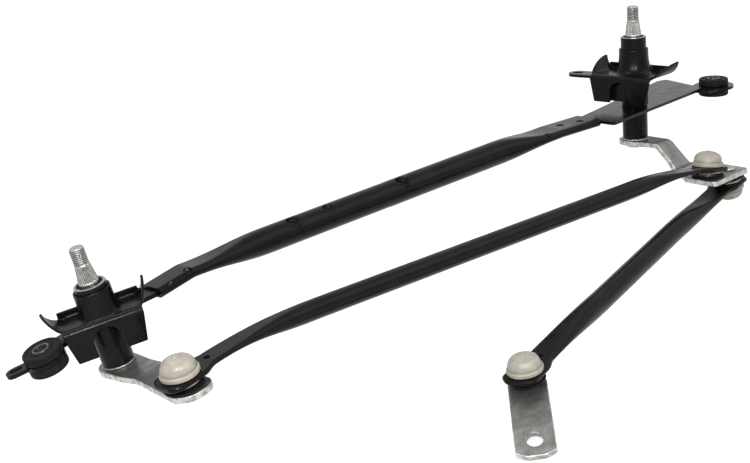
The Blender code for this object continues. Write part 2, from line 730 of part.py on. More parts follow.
def ball_socket(name, parent):
    """A nylon cup in a rod end: flange and dome above, lip below and a round seat inside."""
    seat = BALL_RADIUS + BALL_GAP
    low = CONTACT_GAP - ROD_END_DEPTH
    shoulder = low + SOCKET_FLANGE_HEIGHT
    crown = shoulder + SOCKET_DOME_HEIGHT
    lip_foot = socket_lip_foot()
    dome = [
        (SOCKET_PIP_RADIUS + (SOCKET_DOME_RADIUS - SOCKET_PIP_RADIUS) * math.sin(a),
         shoulder + SOCKET_DOME_HEIGHT * math.cos(a))
        for a in np.linspace(0.0, math.pi / 2, 5)
    ]
    mouth = np.linspace(math.pi - SOCKET_MOUTH_ANGLE, 0.0, 6)[:-1]
    profile = [(0.0, crown + SOCKET_PIP_HEIGHT), (SOCKET_PIP_RADIUS, crown + SOCKET_PIP_HEIGHT)] + dome
    profile += [
        (SOCKET_FLANGE_RADIUS, shoulder - SOCKET_FLANGE_HEIGHT / 4),
        (SOCKET_FLANGE_RADIUS, low),
        (SOCKET_NECK, low),
        (SOCKET_NECK, lip_foot + SOCKET_LIP_HEIGHT),
        (SOCKET_LIP_RADIUS, lip_foot + SOCKET_LIP_HEIGHT),
        (SOCKET_LIP_RADIUS, lip_foot),
        (SOCKET_MOUTH_RADIUS, lip_foot),
    ]
    profile += [(seat * math.sin(a), seat * math.cos(a)) for a in mouth]
    profile.append((0.0, seat))
    turned(name, profile, parent, NYLON, facets=TUBE_FACETS)


def rod_section(reach, diameter):
    """Width and height of a rod at a distance from a ball: a flat head and neck, swelling to a round tube."""
    neck = diameter * ROD_NECK_SPREAD
    share = min(max((reach - ROD_HEAD_LENGTH) / (ROD_FLAT_LENGTH - ROD_HEAD_LENGTH), 0.0), 1.0)
    width = ROD_END_WIDTH + (neck - ROD_END_WIDTH) * ease(share)
    share = min(max((reach - ROD_FLAT_LENGTH) / ROD_TAPER_LENGTH, 0.0), 1.0)
    width += (diameter - neck) * ease(share)
    height = ROD_END_THICKNESS + (diameter - ROD_END_THICKNESS) * late_ease(share)
    if reach <= -ROD_END_OVERRUN:
        width -= 2 * ROD_END_CHAMFER
    return width, height


def rod_climb(reach, bend):
    """How far a rod's middle line has climbed at a distance from a ball, when its end is bent down."""
    slope = math.tan(bend)
    over = min(max(reach - ROD_BEND_START, 0.0), ROD_BEND_END - ROD_BEND_START)
    return slope * (min(reach, ROD_BEND_END) - over * over / (2 * (ROD_BEND_END - ROD_BEND_START)))


def rod_stations(length, diameter, reaches, ends, shrink):
    """Stations of a rod along local X; each end is its middle's height and its bend."""
    rows = []
    for start, way, (middle, bend) in ((0.0, 1, ends[0]), (length, -1, ends[1])):
        row = []
        for reach in reaches:
            width, height = rod_section(reach, diameter)
            lift = middle + rod_climb(reach, bend)
            row.append(((start + way * reach, 0.0, lift), UP, width - 2 * shrink, height - 2 * shrink))
        rows.append(row)
    return rows[0] + rows[1][::-1]


def pressed_rod(name, length, diameter, ends, parent):
    """A tube rod pressed flat and bent at both ends, with a socket hole and a small hole in each flat."""
    taper = [ROD_FLAT_LENGTH + ROD_TAPER_LENGTH * step / TAPER_STEPS for step in range(TAPER_STEPS + 1)]
    head = [-ROD_END_OVERRUN, ROD_END_CHAMFER - ROD_END_OVERRUN, ROD_HEAD_LENGTH, (ROD_HEAD_LENGTH + ROD_FLAT_LENGTH) / 2]
    rod = skin(name, sweep(rod_stations(length, diameter, head + taper, ends, 0.0)), parent, BLACK_PAINT)
    inside = [ROD_HOLLOW_START] + taper[1:]
    hollow = skin(name + "_hollow", sweep(rod_stations(length, diameter, inside, ends, ROD_WALL)), parent, None)
    boolean(rod, hollow)
    frames = []
    for label, start, way, (middle, bend) in (("near", 0.0, 1, ends[0]), ("far", length, -1, ends[1])):
        turn = Matrix.Translation((start, 0.0, 0.0)) @ Matrix.Rotation(-way * bend, 4, 'Y')
        end = frame_empty(f"{name}_{label}_end", turn, parent)
        seat = cylinder(f"{name}_{label}_seat", SOCKET_NECK + CONTACT_GAP, -diameter, diameter, end,
                        facets=TUBE_FACETS)
        boolean(rod, seat)
        drain = cylinder(f"{name}_{label}_drain", ROD_HOLE_RADIUS, -diameter, diameter, end,
                         at=(way * ROD_HOLE_REACH, 0.0), facets=10)
        boolean(rod, drain)
        frames.append(end)
    return frames


def saddle_sheet(name, width, reach, depth, wall, parent):
    """The folded sheet of a saddle: rear lip up, flat deck and front wall down."""
    deck = -depth - SHEET / 2
    front = SHEET / 2 - reach
    rear = SADDLE_BACK - SHEET / 2
    fold = SADDLE_FOLD_RADIUS
    line = rounded([
        (rear, SADDLE_BACK_RISE - depth, 0.0),
        (rear, deck, fold),
        (front, deck, fold),
        (front, -depth - wall, 0.0),
    ], closed=False)
    across = Matrix(((0, 0, 1, 0), (1, 0, 0, 0), (0, 1, 0, 0), (0, 0, 0, 1)))
    return extruded(name, ribbon(line, SHEET), -width / 2, width / 2, parent, BLACK_PAINT, turn=across)


def saddle_wing(name, side, width, reach, depth, wall, parent):
    """One flared side flange: narrow down the front wall, sweeping out and up towards the back."""
    deck = -depth - SHEET / 2
    front = SHEET / 2 - reach
    rear = SADDLE_BACK - SHEET
    fold = SADDLE_FOLD_RADIUS
    path = [(front, SHEET - depth - wall, 0.0), (front, deck - fold, 0.0)]
    turn = arc((front + fold, deck - fold), fold, math.pi, math.pi / 2, 3)
    path += [(y, z, 0.0) for y, z in turn[1:]]
    run = rear - front - fold
    path += [(front + fold + run * share, deck, ease(share)) for share in (0.33, 0.67, 1.0)]
    line = np.array([(y, z) for y, z, share in path])
    ahead = np.gradient(line, axis=0)
    ahead /= np.linalg.norm(ahead, axis=1)[:, None]
    half = SHEET / 2 - CONTACT_GAP / 2
    edge = width / 2
    rings = []
    for (y, z, share), (dy, dz) in zip(path, ahead):
        out = WING_FRONT + (WING_BACK - WING_FRONT) * share
        lift = WING_LIFT * share
        normal = np.array([0.0, -dz, dy]) * half
        spine = [(edge - WING_LAP, 0.0), (edge + SHEET / 4, 0.0), (edge + 0.6 * out, 0.35 * lift), (edge + out, lift)]
        points = np.array([(side * across, y, z + up) for across, up in spine])
        rings.append(np.concatenate([points + normal, (points - normal)[::-1]]))
    return skin(name, rings, parent, None)


def saddle(name, width, reach, depth, wall, boss_foot, parent):
    """A stamped housing round a pivot tube: sheet, wings and drawn boss, with its bore and front arch."""
    sheet = saddle_sheet(name, width, reach, depth, wall, parent)
    for label, side in (("near", -1), ("far", 1)):
        wing = saddle_wing(f"{name}_{label}_wing", side, width, reach, depth, wall, parent)
        boolean(sheet, wing, 'UNION')
    foot = CONTACT_GAP - depth - SHEET
    shoulder = -BOSS_DEPTH - BOSS_STRAIGHT
    drop = shoulder + depth - CONTACT_GAP
    spread = boss_foot - BOSS_RADIUS
    bend = np.linspace(0.0, math.pi / 2, 5)
    profile = [(0.0, -BOSS_DEPTH), (BOSS_RADIUS, -BOSS_DEPTH)]
    profile += [(boss_foot - spread * math.cos(a), shoulder - drop * math.sin(a)) for a in bend]
    profile += [(boss_foot, foot), (0.0, foot)]
    boss = turned(name + "_boss", profile, parent, None)
    limit = block(name + "_boss_limit", (-2 * boss_foot, SHEET - reach, 2 * foot),
                  (2 * boss_foot, BOSS_RADIUS + SHEET / 4, 0.0), parent)
    boolean(boss, limit, 'INTERSECT')
    boolean(sheet, boss, 'UNION')
    boolean(sheet, cylinder(name + "_bore", TUBE_HOLE_RADIUS, -2 * depth, 0.0, parent))
    crown = -depth - ARCH_CROWN - ARCH_RADIUS
    low = -depth - wall - SHEET
    arch = [(ARCH_RADIUS, low)] + arc((0.0, crown), ARCH_RADIUS, 0.0, math.pi, 8) + [(-ARCH_RADIUS, low)]
    upright = Matrix.Translation((0, SHEET / 2 - reach, 0)) @ Matrix.Rotation(math.pi / 2, 4, 'X')
    boolean(sheet, extruded(name + "_arch", arch, -SHEET, SHEET, parent, None, turn=upright))


def right_mount_strap(parent):
    """A slotted strap welded under the right saddle's deck and reaching out past its side."""
    top = -RIGHT_SADDLE_DEPTH - SHEET - CONTACT_GAP
    half = STRAP_WIDTH / 2
    near = -STRAP_FORWARD - half
    far = half - STRAP_FORWARD
    outline = rounded([(-STRAP_START, near, 0.0), (-STRAP_START, far, 0.0),
                       (-STRAP_REACH, far, half), (-STRAP_REACH, near, half)])
    strap = extruded("right_mount_strap", outline, top - STRAP_THICKNESS, top, parent, BLACK_PAINT)
    slot = slot_outline((half - STRAP_REACH, -STRAP_FORWARD), 0.0, STRAP_SLOT_LENGTH, STRAP_SLOT_WIDTH)
    boolean(strap, extruded("right_strap_slot", slot, top - 2 * STRAP_THICKNESS, top + STRAP_THICKNESS, parent, None))


def grommet(side, plate, parent):
    """A waisted rubber mount in a plate's eye with a steel spacer sleeve; origin at its centre."""
    half = GROMMET_HEIGHT / 2
    groove = plate / 2 + CONTACT_GAP
    bore = SLEEVE_RADIUS + CONTACT_GAP
    edge = GROMMET_RADIUS - GROMMET_ROUND
    profile = [
        (edge, half),
        (GROMMET_RADIUS, half - GROMMET_ROUND),
        (GROMMET_RADIUS, groove),
        (GROMMET_WAIST, groove),
        (GROMMET_WAIST, -groove),
        (GROMMET_RADIUS, -groove),
        (GROMMET_RADIUS, GROMMET_ROUND - half),
        (edge, -half),
        (bore, -half),
        (bore, half),
    ]
    turned(side + "_grommet", profile, parent, RUBBER, closed=True)
    stand = half + SLEEVE_STAND
    ring(side + "_grommet_sleeve", SLEEVE_RADIUS - SLEEVE_WALL, SLEEVE_RADIUS, -stand, stand, parent, ZINC, SMALL_FACETS)


def left_mount_arm(axis, bend, eye):
    """A strap from the cross tube past the back of the pivot tube to the drooping grommet eye and its ear."""
    half = LEFT_ARM_THICKNESS / 2
    low = -LEFT_ARM_DEPTH - half
    top = half - LEFT_ARM_DEPTH
    near = LEFT_TUBE_BACK - LEFT_TONGUE_WIDTH / 2
    far = LEFT_TUBE_BACK + LEFT_TONGUE_WIDTH / 2
    lap = LEFT_ARM_THICKNESS
    end = LEFT_TUBE_START + TONGUE_LAP
    shoulder = LEFT_TUBE_START - LEFT_ARM_THICKNESS
    outline = [(end, near), (end, far), (shoulder, far), (shoulder - lap, LEFT_ARM_REAR),
               (-LEFT_ARM_BEND, LEFT_ARM_REAR), (-LEFT_ARM_BEND, LEFT_ARM_FRONT),
               (PIVOT_TUBE_RADIUS, LEFT_ARM_FRONT), (shoulder, near)]
    arm = extruded("left_mount_arm", outline, low, top, axis, BLACK_PAINT)
    shave = CONTACT_GAP / 3
    link = [(lap, LEFT_ARM_FRONT + shave), (lap, LEFT_ARM_REAR - shave),
            (LEFT_ARM_BEND - LEFT_GROMMET_REACH, LEFT_ARM_REAR - shave),
            (LEFT_ARM_BEND - LEFT_GROMMET_REACH, LEFT_ARM_FRONT + shave)]
    boolean(arm, extruded("left_arm_link", link, shave - half, half - shave, bend, None), 'UNION')
    boolean(arm, cylinder("left_eye_disc", LEFT_EYE_RADIUS, -half, half, eye), 'UNION')
    ear_length = LEFT_EAR_REACH + LEFT_EAR_WIDTH / 2
    ear_middle = LEFT_EAR_REACH - ear_length / 2
    ahead = np.array([math.cos(LEFT_EAR_HEADING), math.sin(LEFT_EAR_HEADING)])
    ear = slot_outline(ahead * ear_middle, LEFT_EAR_HEADING, ear_length, LEFT_EAR_WIDTH)
    boolean(arm, extruded("left_ear", ear, shave - half, half - shave, eye, None), 'UNION')
    rim = (LEFT_EAR_WIDTH - LEFT_EAR_SLOT_WIDTH) / 2
    slot_middle = LEFT_EAR_REACH - rim - LEFT_EAR_SLOT_LENGTH / 2
    slot = slot_outline(ahead * slot_middle, LEFT_EAR_HEADING, LEFT_EAR_SLOT_LENGTH, LEFT_EAR_SLOT_WIDTH)
    boolean(arm, extruded("left_ear_slot", slot, -2 * LEFT_ARM_THICKNESS, 2 * LEFT_ARM_THICKNESS, eye, None))
    boolean(arm, cylinder("left_eye_hole", GROMMET_WAIST + CONTACT_GAP, 4 * low, -4 * low, eye))
    boolean(arm, cylinder("left_arm_bore", TUBE_HOLE_RADIUS, 2 * low, 0.0, axis))


def right_bracket_plate(axis, eye):
    """A broad plate from the cross tube round the pivot tube to the right grommet's stepped eye."""
    half = PLATE_THICKNESS / 2
    low = -PLATE_DEPTH - half
    top = half - PLATE_DEPTH
    front_slope = math.tan(PLATE_FRONT_TURN)
    rear_slope = math.tan(PLATE_REAR_TURN)
    corner = PLATE_REAR_REACH + PLATE_CORNER_CUT
    outline = rounded([
        (-PLATE_START, -PLATE_FRONT - PLATE_START * front_slope, PLATE_THICKNESS),
        (PLATE_FRONT_REACH, -PLATE_FRONT + PLATE_FRONT_REACH * front_slope, 0.0),
        (corner, PLATE_REAR + (PLATE_REAR_REACH - PLATE_CORNER_CUT) * rear_slope, PLATE_THICKNESS),
        (PLATE_REAR_REACH, PLATE_REAR + PLATE_REAR_REACH * rear_slope, PLATE_THICKNESS),
        (-PLATE_START, PLATE_REAR - PLATE_START * rear_slope, PLATE_THICKNESS),
    ])
    plate = extruded("right_bracket_plate", outline, low, top, axis, BLACK_PAINT)
    near = RIGHT_TUBE_BACK - RIGHT_TONGUE_WIDTH / 2
    far = RIGHT_TUBE_BACK + RIGHT_TONGUE_WIDTH / 2
    shave = CONTACT_GAP / 3
    end = -RIGHT_TUBE_START - TONGUE_LAP
    tongue = [(end, near), (-PLATE_START / 2, near), (-PLATE_START / 2, far), (end, far)]
    boolean(plate, extruded("right_tongue", tongue, low + shave, top - shave, axis, None), 'UNION')
    arm = [(-RIGHT_EYE_LAP, -RIGHT_EYE_ARM), (0.0, -RIGHT_EYE_ARM), (0.0, RIGHT_EYE_ARM), (-RIGHT_EYE_LAP, RIGHT_EYE_ARM)]
    boolean(plate, cylinder("right_eye_disc", RIGHT_EYE_RADIUS, -half, half, eye), 'UNION')
    boolean(plate, extruded("right_eye_arm", arm, shave - half, half - shave, eye, None), 'UNION')
    boolean(plate, cylinder("right_eye_hole", GROMMET_WAIST + CONTACT_GAP, low, -low, eye))
    boolean(plate, cylinder("right_plate_bore", TUBE_HOLE_RADIUS, 2 * low, 0.0, axis))


def tube_stations(shrink):
    """Stations of the cross tube: flat over each tongue, bent, then swelling to a round tube."""
    left_foot = Vector((LEFT_TUBE_START, LEFT_TUBE_BACK, -LEFT_ARM_DEPTH))
    right_foot = Vector((-RIGHT_TUBE_START, RIGHT_TUBE_BACK, -PLATE_DEPTH))
    ends = (
        (LEFT_PIVOT, left_foot, LEFT_TUBE_FLAT, LEFT_TONGUE_WIDTH, LEFT_ARM_THICKNESS),
        (RIGHT_PIVOT, right_foot, -RIGHT_TUBE_FLAT, RIGHT_TONGUE_WIDTH, PLATE_THICKNESS),
    )
    bends = [pivot @ (foot + Vector((flat, 0.0, 0.0))) for pivot, foot, flat, tongue, plate in ends]
    run = (bends[1] - bends[0]).normalized()
    rows = []
    for (pivot, foot, flat, tongue, plate), bend in zip(ends, bends):
        up = pivot.to_3x3() @ UP
        flat_height = plate + 2 * CONTACT_GAP + 2 * TUBE_WALL
        flat_width = tongue + flat_height
        row = [(pivot @ foot, up, flat_width, flat_height)]
        for step in range(TAPER_STEPS + 1):
            share = step / TAPER_STEPS
            centre = bend + run * math.copysign(TUBE_TAPER_LENGTH * share, flat)
            width = flat_width + (TUBE_DIAMETER - flat_width) * ease(share)
            height = flat_height + (TUBE_DIAMETER - flat_height) * late_ease(share)
            row.append((centre, up, width, height))
        rows.append(row)
    return [(tuple(centre), tuple(up), width - 2 * shrink, height - 2 * shrink)
            for centre, up, width, height in rows[0] + rows[1][::-1]]


def frame_tube():
    """The frame's cross tube, open at both pressed ends."""
    skin("frame_tube", sweep(tube_stations(0.0)), None, BLACK_PAINT, inner=sweep(tube_stations(TUBE_WALL)))


def motor_crank(parent):
    """A flat crank with a bent end and the motor shaft's hole; origin at its ball's centre."""
    middle = -MOTOR_BALL_HEIGHT - CRANK_THICKNESS / 2
    half = CRANK_WIDTH / 2
    bend = CRANK_LENGTH - CRANK_BEND_SETBACK
    run = CRANK_BEND_SETBACK + CRANK_TAIL
    end = bend + run * math.cos(CRANK_BEND)
    line = rounded([
        (-2 * CRANK_START, middle, 0.0),
        (bend, middle, CRANK_BEND_RADIUS),
        (bend + 2 * run * math.cos(CRANK_BEND), middle - 2 * run * math.sin(CRANK_BEND), 0.0),
    ], closed=False)
    outline = rounded([
        (-CRANK_START, -half, half),
        (end - CRANK_TAIL_BULGE, -half, CRANK_THICKNESS / 2),
        (end, -half / 2, half),
        (end, half / 2, half),
        (end - CRANK_TAIL_BULGE, half, CRANK_THICKNESS / 2),
        (-CRANK_START, half, half),
    ])
    crank = bent_plate("motor_crank", line, CRANK_THICKNESS, outline, parent, ZINC)
    boolean(crank, cylinder("crank_stud_hole", STUD_SHANK + CONTACT_GAP, 2 * middle, 0.0, parent, facets=SMALL_FACETS))
    slope = Matrix.Translation((bend, 0.0, middle)) @ Matrix.Rotation(CRANK_BEND, 4, 'Y')
    tail = frame_empty("motor_crank_tail", slope, parent)
    boolean(crank, cylinder("crank_shaft_hole", CRANK_HOLE_RADIUS, -2 * CRANK_THICKNESS, 2 * CRANK_THICKNESS, tail,
                            at=(CRANK_BEND_SETBACK, 0.0), facets=TUBE_FACETS))


def rod_matrix(start, end):
    """A frame at start with X towards end and Z as near up as it can be."""
    ahead = (end - start).normalized()
    side = UP.cross(ahead).normalized()
    turn = Matrix((ahead, side, ahead.cross(side))).transposed().to_4x4()
    return Matrix.Translation(start) @ turn


def build_frame():
    """The pieces that stay with the car, and the turning pieces of the two pivot stacks."""
    left = frame_empty("left_pivot_frame", LEFT_PIVOT)
    right = frame_empty("right_pivot_frame", RIGHT_PIVOT)
    left_axis = frame_empty("left_pivot_axis", LEFT_PIVOT)
    right_axis = frame_empty("right_pivot_axis", RIGHT_PIVOT)
    pivot_stack("left", LEFT_TUBE_LENGTH, LEFT_LEVER_TOP, left, left_axis)
    pivot_stack("right", RIGHT_TUBE_LENGTH, RIGHT_LEVER_TOP, right, right_axis)
    left_turn = frame_empty("left_saddle_frame", Matrix.Rotation(LEFT_SADDLE_YAW, 4, 'Z'), left)
    right_turn = frame_empty("right_saddle_frame", Matrix.Rotation(RIGHT_SADDLE_YAW, 4, 'Z'), right)
    saddle("left_saddle", LEFT_SADDLE_WIDTH, LEFT_SADDLE_REACH, LEFT_SADDLE_DEPTH, LEFT_WALL_HEIGHT,
           LEFT_BOSS_FOOT, left_turn)
    saddle("right_saddle", RIGHT_SADDLE_WIDTH, RIGHT_SADDLE_REACH, RIGHT_SADDLE_DEPTH, RIGHT_WALL_HEIGHT,
           RIGHT_BOSS_FOOT, right_turn)
    right_mount_strap(right_turn)
    left_eye = frame_empty("left_eye_frame", left_eye_matrix(), left)
    bend = Matrix.Translation((-LEFT_ARM_BEND, 0.0, -LEFT_ARM_DEPTH)) @ Matrix.Rotation(-LEFT_ARM_DROOP, 4, 'Y')
    left_mount_arm(left, frame_empty("left_arm_bend", bend, left), left_eye)
    right_eye_place = (RIGHT_GROMMET_REACH, RIGHT_GROMMET_BACK, -PLATE_DEPTH - RIGHT_EYE_STEP)
    right_eye = frame_empty("right_eye_frame", Matrix.Translation(right_eye_place), right)
    right_bracket_plate(right, right_eye)
    grommet("left", LEFT_ARM_THICKNESS, left_eye)
    grommet("right", PLATE_THICKNESS, right_eye)
    frame_tube()
    return left_axis, right_axis


def build_linkage(left_axis, right_axis):
    """The levers, balls, rods and crank."""
    towards_ball = Matrix.Rotation(-math.pi / 2, 4, 'Z')
    upside_down = Matrix.Rotation(math.pi, 4, 'X')
    left = frame_empty("left_lever_frame", towards_ball, left_axis)
    right = frame_empty("right_lever_frame", towards_ball, right_axis)
    left_lever(left)
    right_lever(right)
    left_place = Matrix.Translation((*lever_ball(LEFT_LEVER_LENGTH), LEFT_PAD_TOP + LEVER_BALL_HEIGHT))
    reach, side = lever_ball(RIGHT_LEVER_LENGTH)
    upper_place = Matrix.Translation((reach, side, RIGHT_PAD_TOP + LEVER_BALL_HEIGHT))
    under = RIGHT_PAD_TOP - LEVER_THICKNESS - LEVER_BALL_HEIGHT
    lower_place = Matrix.Translation((reach + DRIVE_BALL_LEAD, side + DRIVE_BALL_SPREAD, under)) @ upside_down
    for name, place_matrix, height, lever in (
            ("left", left_place, LEVER_BALL_HEIGHT, left),
            ("right_upper", upper_place, LEVER_BALL_HEIGHT, right),
            ("right_lower", lower_place, LEVER_BALL_HEIGHT, right)):
        ball = frame_empty(name + "_ball", place_matrix, lever)
        ball_stud(name + "_ball_stud", height, LEVER_THICKNESS, ball)
        ball_boot(name + "_ball_boot", height, ball)

    left_point = LEFT_PIVOT @ towards_ball @ left_place.translation
    upper_point = RIGHT_PIVOT @ towards_ball @ upper_place.translation
    lower_point = RIGHT_PIVOT @ towards_ball @ lower_place.translation
    tie_length = (left_point - upper_point).length
    tie_axis = frame_empty("tie_rod_axis", rod_matrix(upper_point, left_point))
    bends = (ROD_MIDDLE, TIE_ROD_NEAR_BEND), (ROD_MIDDLE, TIE_ROD_FAR_BEND)
    right_end, left_end = pressed_rod("tie_rod", tie_length, TIE_ROD_DIAMETER, bends, tie_axis)
    ball_socket("tie_rod_right_socket", right_end)
    ball_socket("tie_rod_left_socket", left_end)

    heading = Matrix.Rotation(DRIVE_ROD_HEADING, 3, 'Z') @ Matrix.Rotation(DRIVE_ROD_DIP, 3, 'Y')
    motor_point = lower_point + heading @ Vector((DRIVE_ROD_LENGTH, 0.0, 0.0))
    drive_axis = frame_empty("drive_rod_axis", rod_matrix(lower_point, motor_point))
    bends = (-ROD_MIDDLE, 0.0), (ROD_MIDDLE, DRIVE_ROD_FAR_BEND)
    lever_end, motor_end = pressed_rod("drive_rod", DRIVE_ROD_LENGTH, DRIVE_ROD_DIAMETER, bends, drive_axis)
    ball_socket("drive_rod_lever_socket", frame_empty("drive_rod_lever_seat", upside_down, lever_end))
    ball_socket("drive_rod_motor_socket", motor_end)
    boot_top = socket_lip_foot() - CONTACT_GAP
    ring("drive_rod_motor_boot", BALL_RADIUS + 3 * CONTACT_GAP, BOOT_RADIUS, boot_top - ROD_BOOT_HEIGHT, boot_top,
         motor_end, RUBBER, TUBE_FACETS)

    crank_turn = Matrix.Rotation(CRANK_HEADING, 4, 'Z') @ Matrix.Rotation(CRANK_TILT, 4, 'Y')
    crank_axis = frame_empty("motor_crank_axis", Matrix.Translation(motor_point) @ crank_turn)
    motor_crank(crank_axis)
    ball_stud("motor_crank_ball_stud", MOTOR_BALL_HEIGHT, CRANK_THICKNESS, crank_axis)


build_linkage(*build_frame())
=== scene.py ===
"""Looks of the windshield wiper linkage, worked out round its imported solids.

Every piece is a surface of two parameters, computed as whole arrays: turned profiles,
pressed tubes carried along their middle lines, plates spread between two side lines and
bent along a third, and two stamped saddles.  Lengths are metres in the part's own frame.
"""
import math

import bmesh
import bpy
import numpy as np
from mathutils import Matrix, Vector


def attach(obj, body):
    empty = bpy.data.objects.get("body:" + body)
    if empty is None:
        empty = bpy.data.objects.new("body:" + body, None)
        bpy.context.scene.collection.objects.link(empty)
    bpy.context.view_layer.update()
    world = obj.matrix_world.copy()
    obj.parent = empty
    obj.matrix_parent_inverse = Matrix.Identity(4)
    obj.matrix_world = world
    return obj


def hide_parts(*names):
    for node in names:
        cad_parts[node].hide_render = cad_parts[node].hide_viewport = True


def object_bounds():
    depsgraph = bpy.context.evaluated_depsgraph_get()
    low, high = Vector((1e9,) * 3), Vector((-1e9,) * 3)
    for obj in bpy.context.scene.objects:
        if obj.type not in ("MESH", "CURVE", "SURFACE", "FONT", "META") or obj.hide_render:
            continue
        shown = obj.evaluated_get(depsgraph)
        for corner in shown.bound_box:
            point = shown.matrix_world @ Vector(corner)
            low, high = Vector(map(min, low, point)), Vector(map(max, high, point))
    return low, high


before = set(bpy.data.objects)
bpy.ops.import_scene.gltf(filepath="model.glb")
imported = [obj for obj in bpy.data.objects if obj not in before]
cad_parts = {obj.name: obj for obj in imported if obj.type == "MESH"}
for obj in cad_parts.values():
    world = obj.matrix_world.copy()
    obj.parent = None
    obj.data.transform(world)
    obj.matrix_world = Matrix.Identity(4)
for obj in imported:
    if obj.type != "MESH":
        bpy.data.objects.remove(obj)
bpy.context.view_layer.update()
scene = bpy.context.scene

# Sizes shared with the solids; angles are degrees
FIT = 0.0003
PIVOT_SPACING, PIVOT_RISE = 0.5529, 0.004
PIVOT_SPLAY, PIVOT_SKEW = 6.4, 1.85
TUBE_OUTER, TUBE_BORE = 0.0105, 0.0086
LEFT_TUBE_LENGTH, RIGHT_TUBE_LENGTH = 0.0555, 0.0857
WASHER_THICKNESS = 0.001
SHAFT_RADIUS, SHAFT_STAND = 0.006, 0.025
LEVER_THICKNESS, LEVER_HEADING = 0.0042, 4.9
LEFT_LEVER_LENGTH, LEFT_LEVER_RISE = 0.080, 0.0015
RIGHT_LEVER_LENGTH, RIGHT_LEVER_DROP = 0.078, 0.0208
DRIVE_BALL_SPREAD, DRIVE_BALL_LEAD = 0.0267, 0.0013
BALL_RADIUS, BALL_HEIGHT, STUD_SHANK = 0.008, 0.0095, 0.004
SOCKET_NECK = 0.0099
ROD_THICKNESS, ROD_DEPTH = 0.0034, 0.001
TIE_ROD_DIAMETER, TIE_NEAR_BEND, TIE_FAR_BEND = 0.0138, 8.0, 11.5
DRIVE_ROD_DIAMETER, DRIVE_LENGTH, DRIVE_FAR_BEND = 0.0163, 0.351, 3.5
DRIVE_HEADING, DRIVE_DIP = 192.2, 0.25
CRANK_HEADING, CRANK_TILT = -136.0, 8.0
CRANK_LENGTH, CRANK_WIDTH, CRANK_THICKNESS = 0.060, 0.0266, 0.0045
CRANK_SETBACK, CRANK_TAIL, CRANK_BEND = 0.0103, 0.0135, 15.5
CRANK_BALL_HEIGHT = 0.0108
ARM_THICKNESS, ARM_DEPTH, ARM_BEND, ARM_DROOP = 0.003, 0.030, 0.029, 6.0
LEFT_GROMMET_REACH, LEFT_GROMMET_BACK = 0.0424, 0.007
PLATE_THICKNESS, PLATE_DEPTH, EYE_STEP = 0.0025, 0.0605, 0.0015
RIGHT_GROMMET_REACH, RIGHT_GROMMET_BACK = 0.1086, -0.0033
SHEET = 0.0022
LEFT_LEVER_TOP = -LEFT_TUBE_LENGTH - WASHER_THICKNESS - 2 * FIT
RIGHT_LEVER_TOP = -RIGHT_TUBE_LENGTH - WASHER_THICKNESS - 2 * FIT
ROD_MIDDLE = -ROD_DEPTH - ROD_THICKNESS / 2

# Headings of the saddles, as the photograph shows them
LEFT_SADDLE_YAW, RIGHT_SADDLE_YAW = -30.5, -84.5


def axes(origin, x, z):
    """A 4 x 4 frame from its origin, its X and its Z; Y is Z cross X."""
    x = np.array(x) / np.linalg.norm(x)
    z = np.array(z) / np.linalg.norm(z)
    matrix = np.eye(4)
    matrix[:3, :3] = np.stack([x, np.cross(z, x), z], axis=1)
    matrix[:3, 3] = origin
    return matrix


def shift(x, y, z):
    """A frame moved along its own axes."""
    matrix = np.eye(4)
    matrix[:3, 3] = x, y, z
    return matrix


def spin(axis, degrees):
    """A frame turned about its own X, Y or Z."""
    return np.array(Matrix.Rotation(math.radians(degrees), 4, axis))


def rod_frame(start, end):
    """A frame at one ball with X towards the other and Z as near up as it can be."""
    ahead = (end - start) / np.linalg.norm(end - start)
    return axes(start, ahead, np.cross(ahead, np.cross([0.0, 0.0, 1.0], ahead)))


def lever_ball(length):
    """Reach and side of a lever's ball."""
    heading = math.radians(LEVER_HEADING)
    return length * math.cos(heading), -length * math.sin(heading)


def moved(points, matrix):
    """Points of a local frame, in the part's frame."""
    return points @ matrix[:3, :3].T + matrix[:3, 3]


# Frames of the joints and pieces; the origin is the middle of the left grommet
LEFT_TURN = spin('X', -PIVOT_SKEW) @ spin('Y', -PIVOT_SPLAY)
RIGHT_TURN = spin('X', PIVOT_SKEW) @ spin('Y', PIVOT_SPLAY)
LEFT_ARM_END = shift(-ARM_BEND, 0.0, -ARM_DEPTH) @ spin('Y', -ARM_DROOP)
LEFT_ARM_END = LEFT_ARM_END @ shift(ARM_BEND - LEFT_GROMMET_REACH, LEFT_GROMMET_BACK, 0.0)
LEFT = shift(*-(LEFT_TURN @ LEFT_ARM_END)[:3, 3]) @ LEFT_TURN
RIGHT = shift(*(LEFT[:3, 3] + [PIVOT_SPACING, 0.0, PIVOT_RISE])) @ RIGHT_TURN
LEFT_EYE = LEFT @ LEFT_ARM_END
RIGHT_EYE = RIGHT @ shift(RIGHT_GROMMET_REACH, RIGHT_GROMMET_BACK, -PLATE_DEPTH - EYE_STEP)
LEFT_SADDLE_FRAME = LEFT @ spin('Z', LEFT_SADDLE_YAW)
RIGHT_SADDLE_FRAME = RIGHT @ spin('Z', RIGHT_SADDLE_YAW)

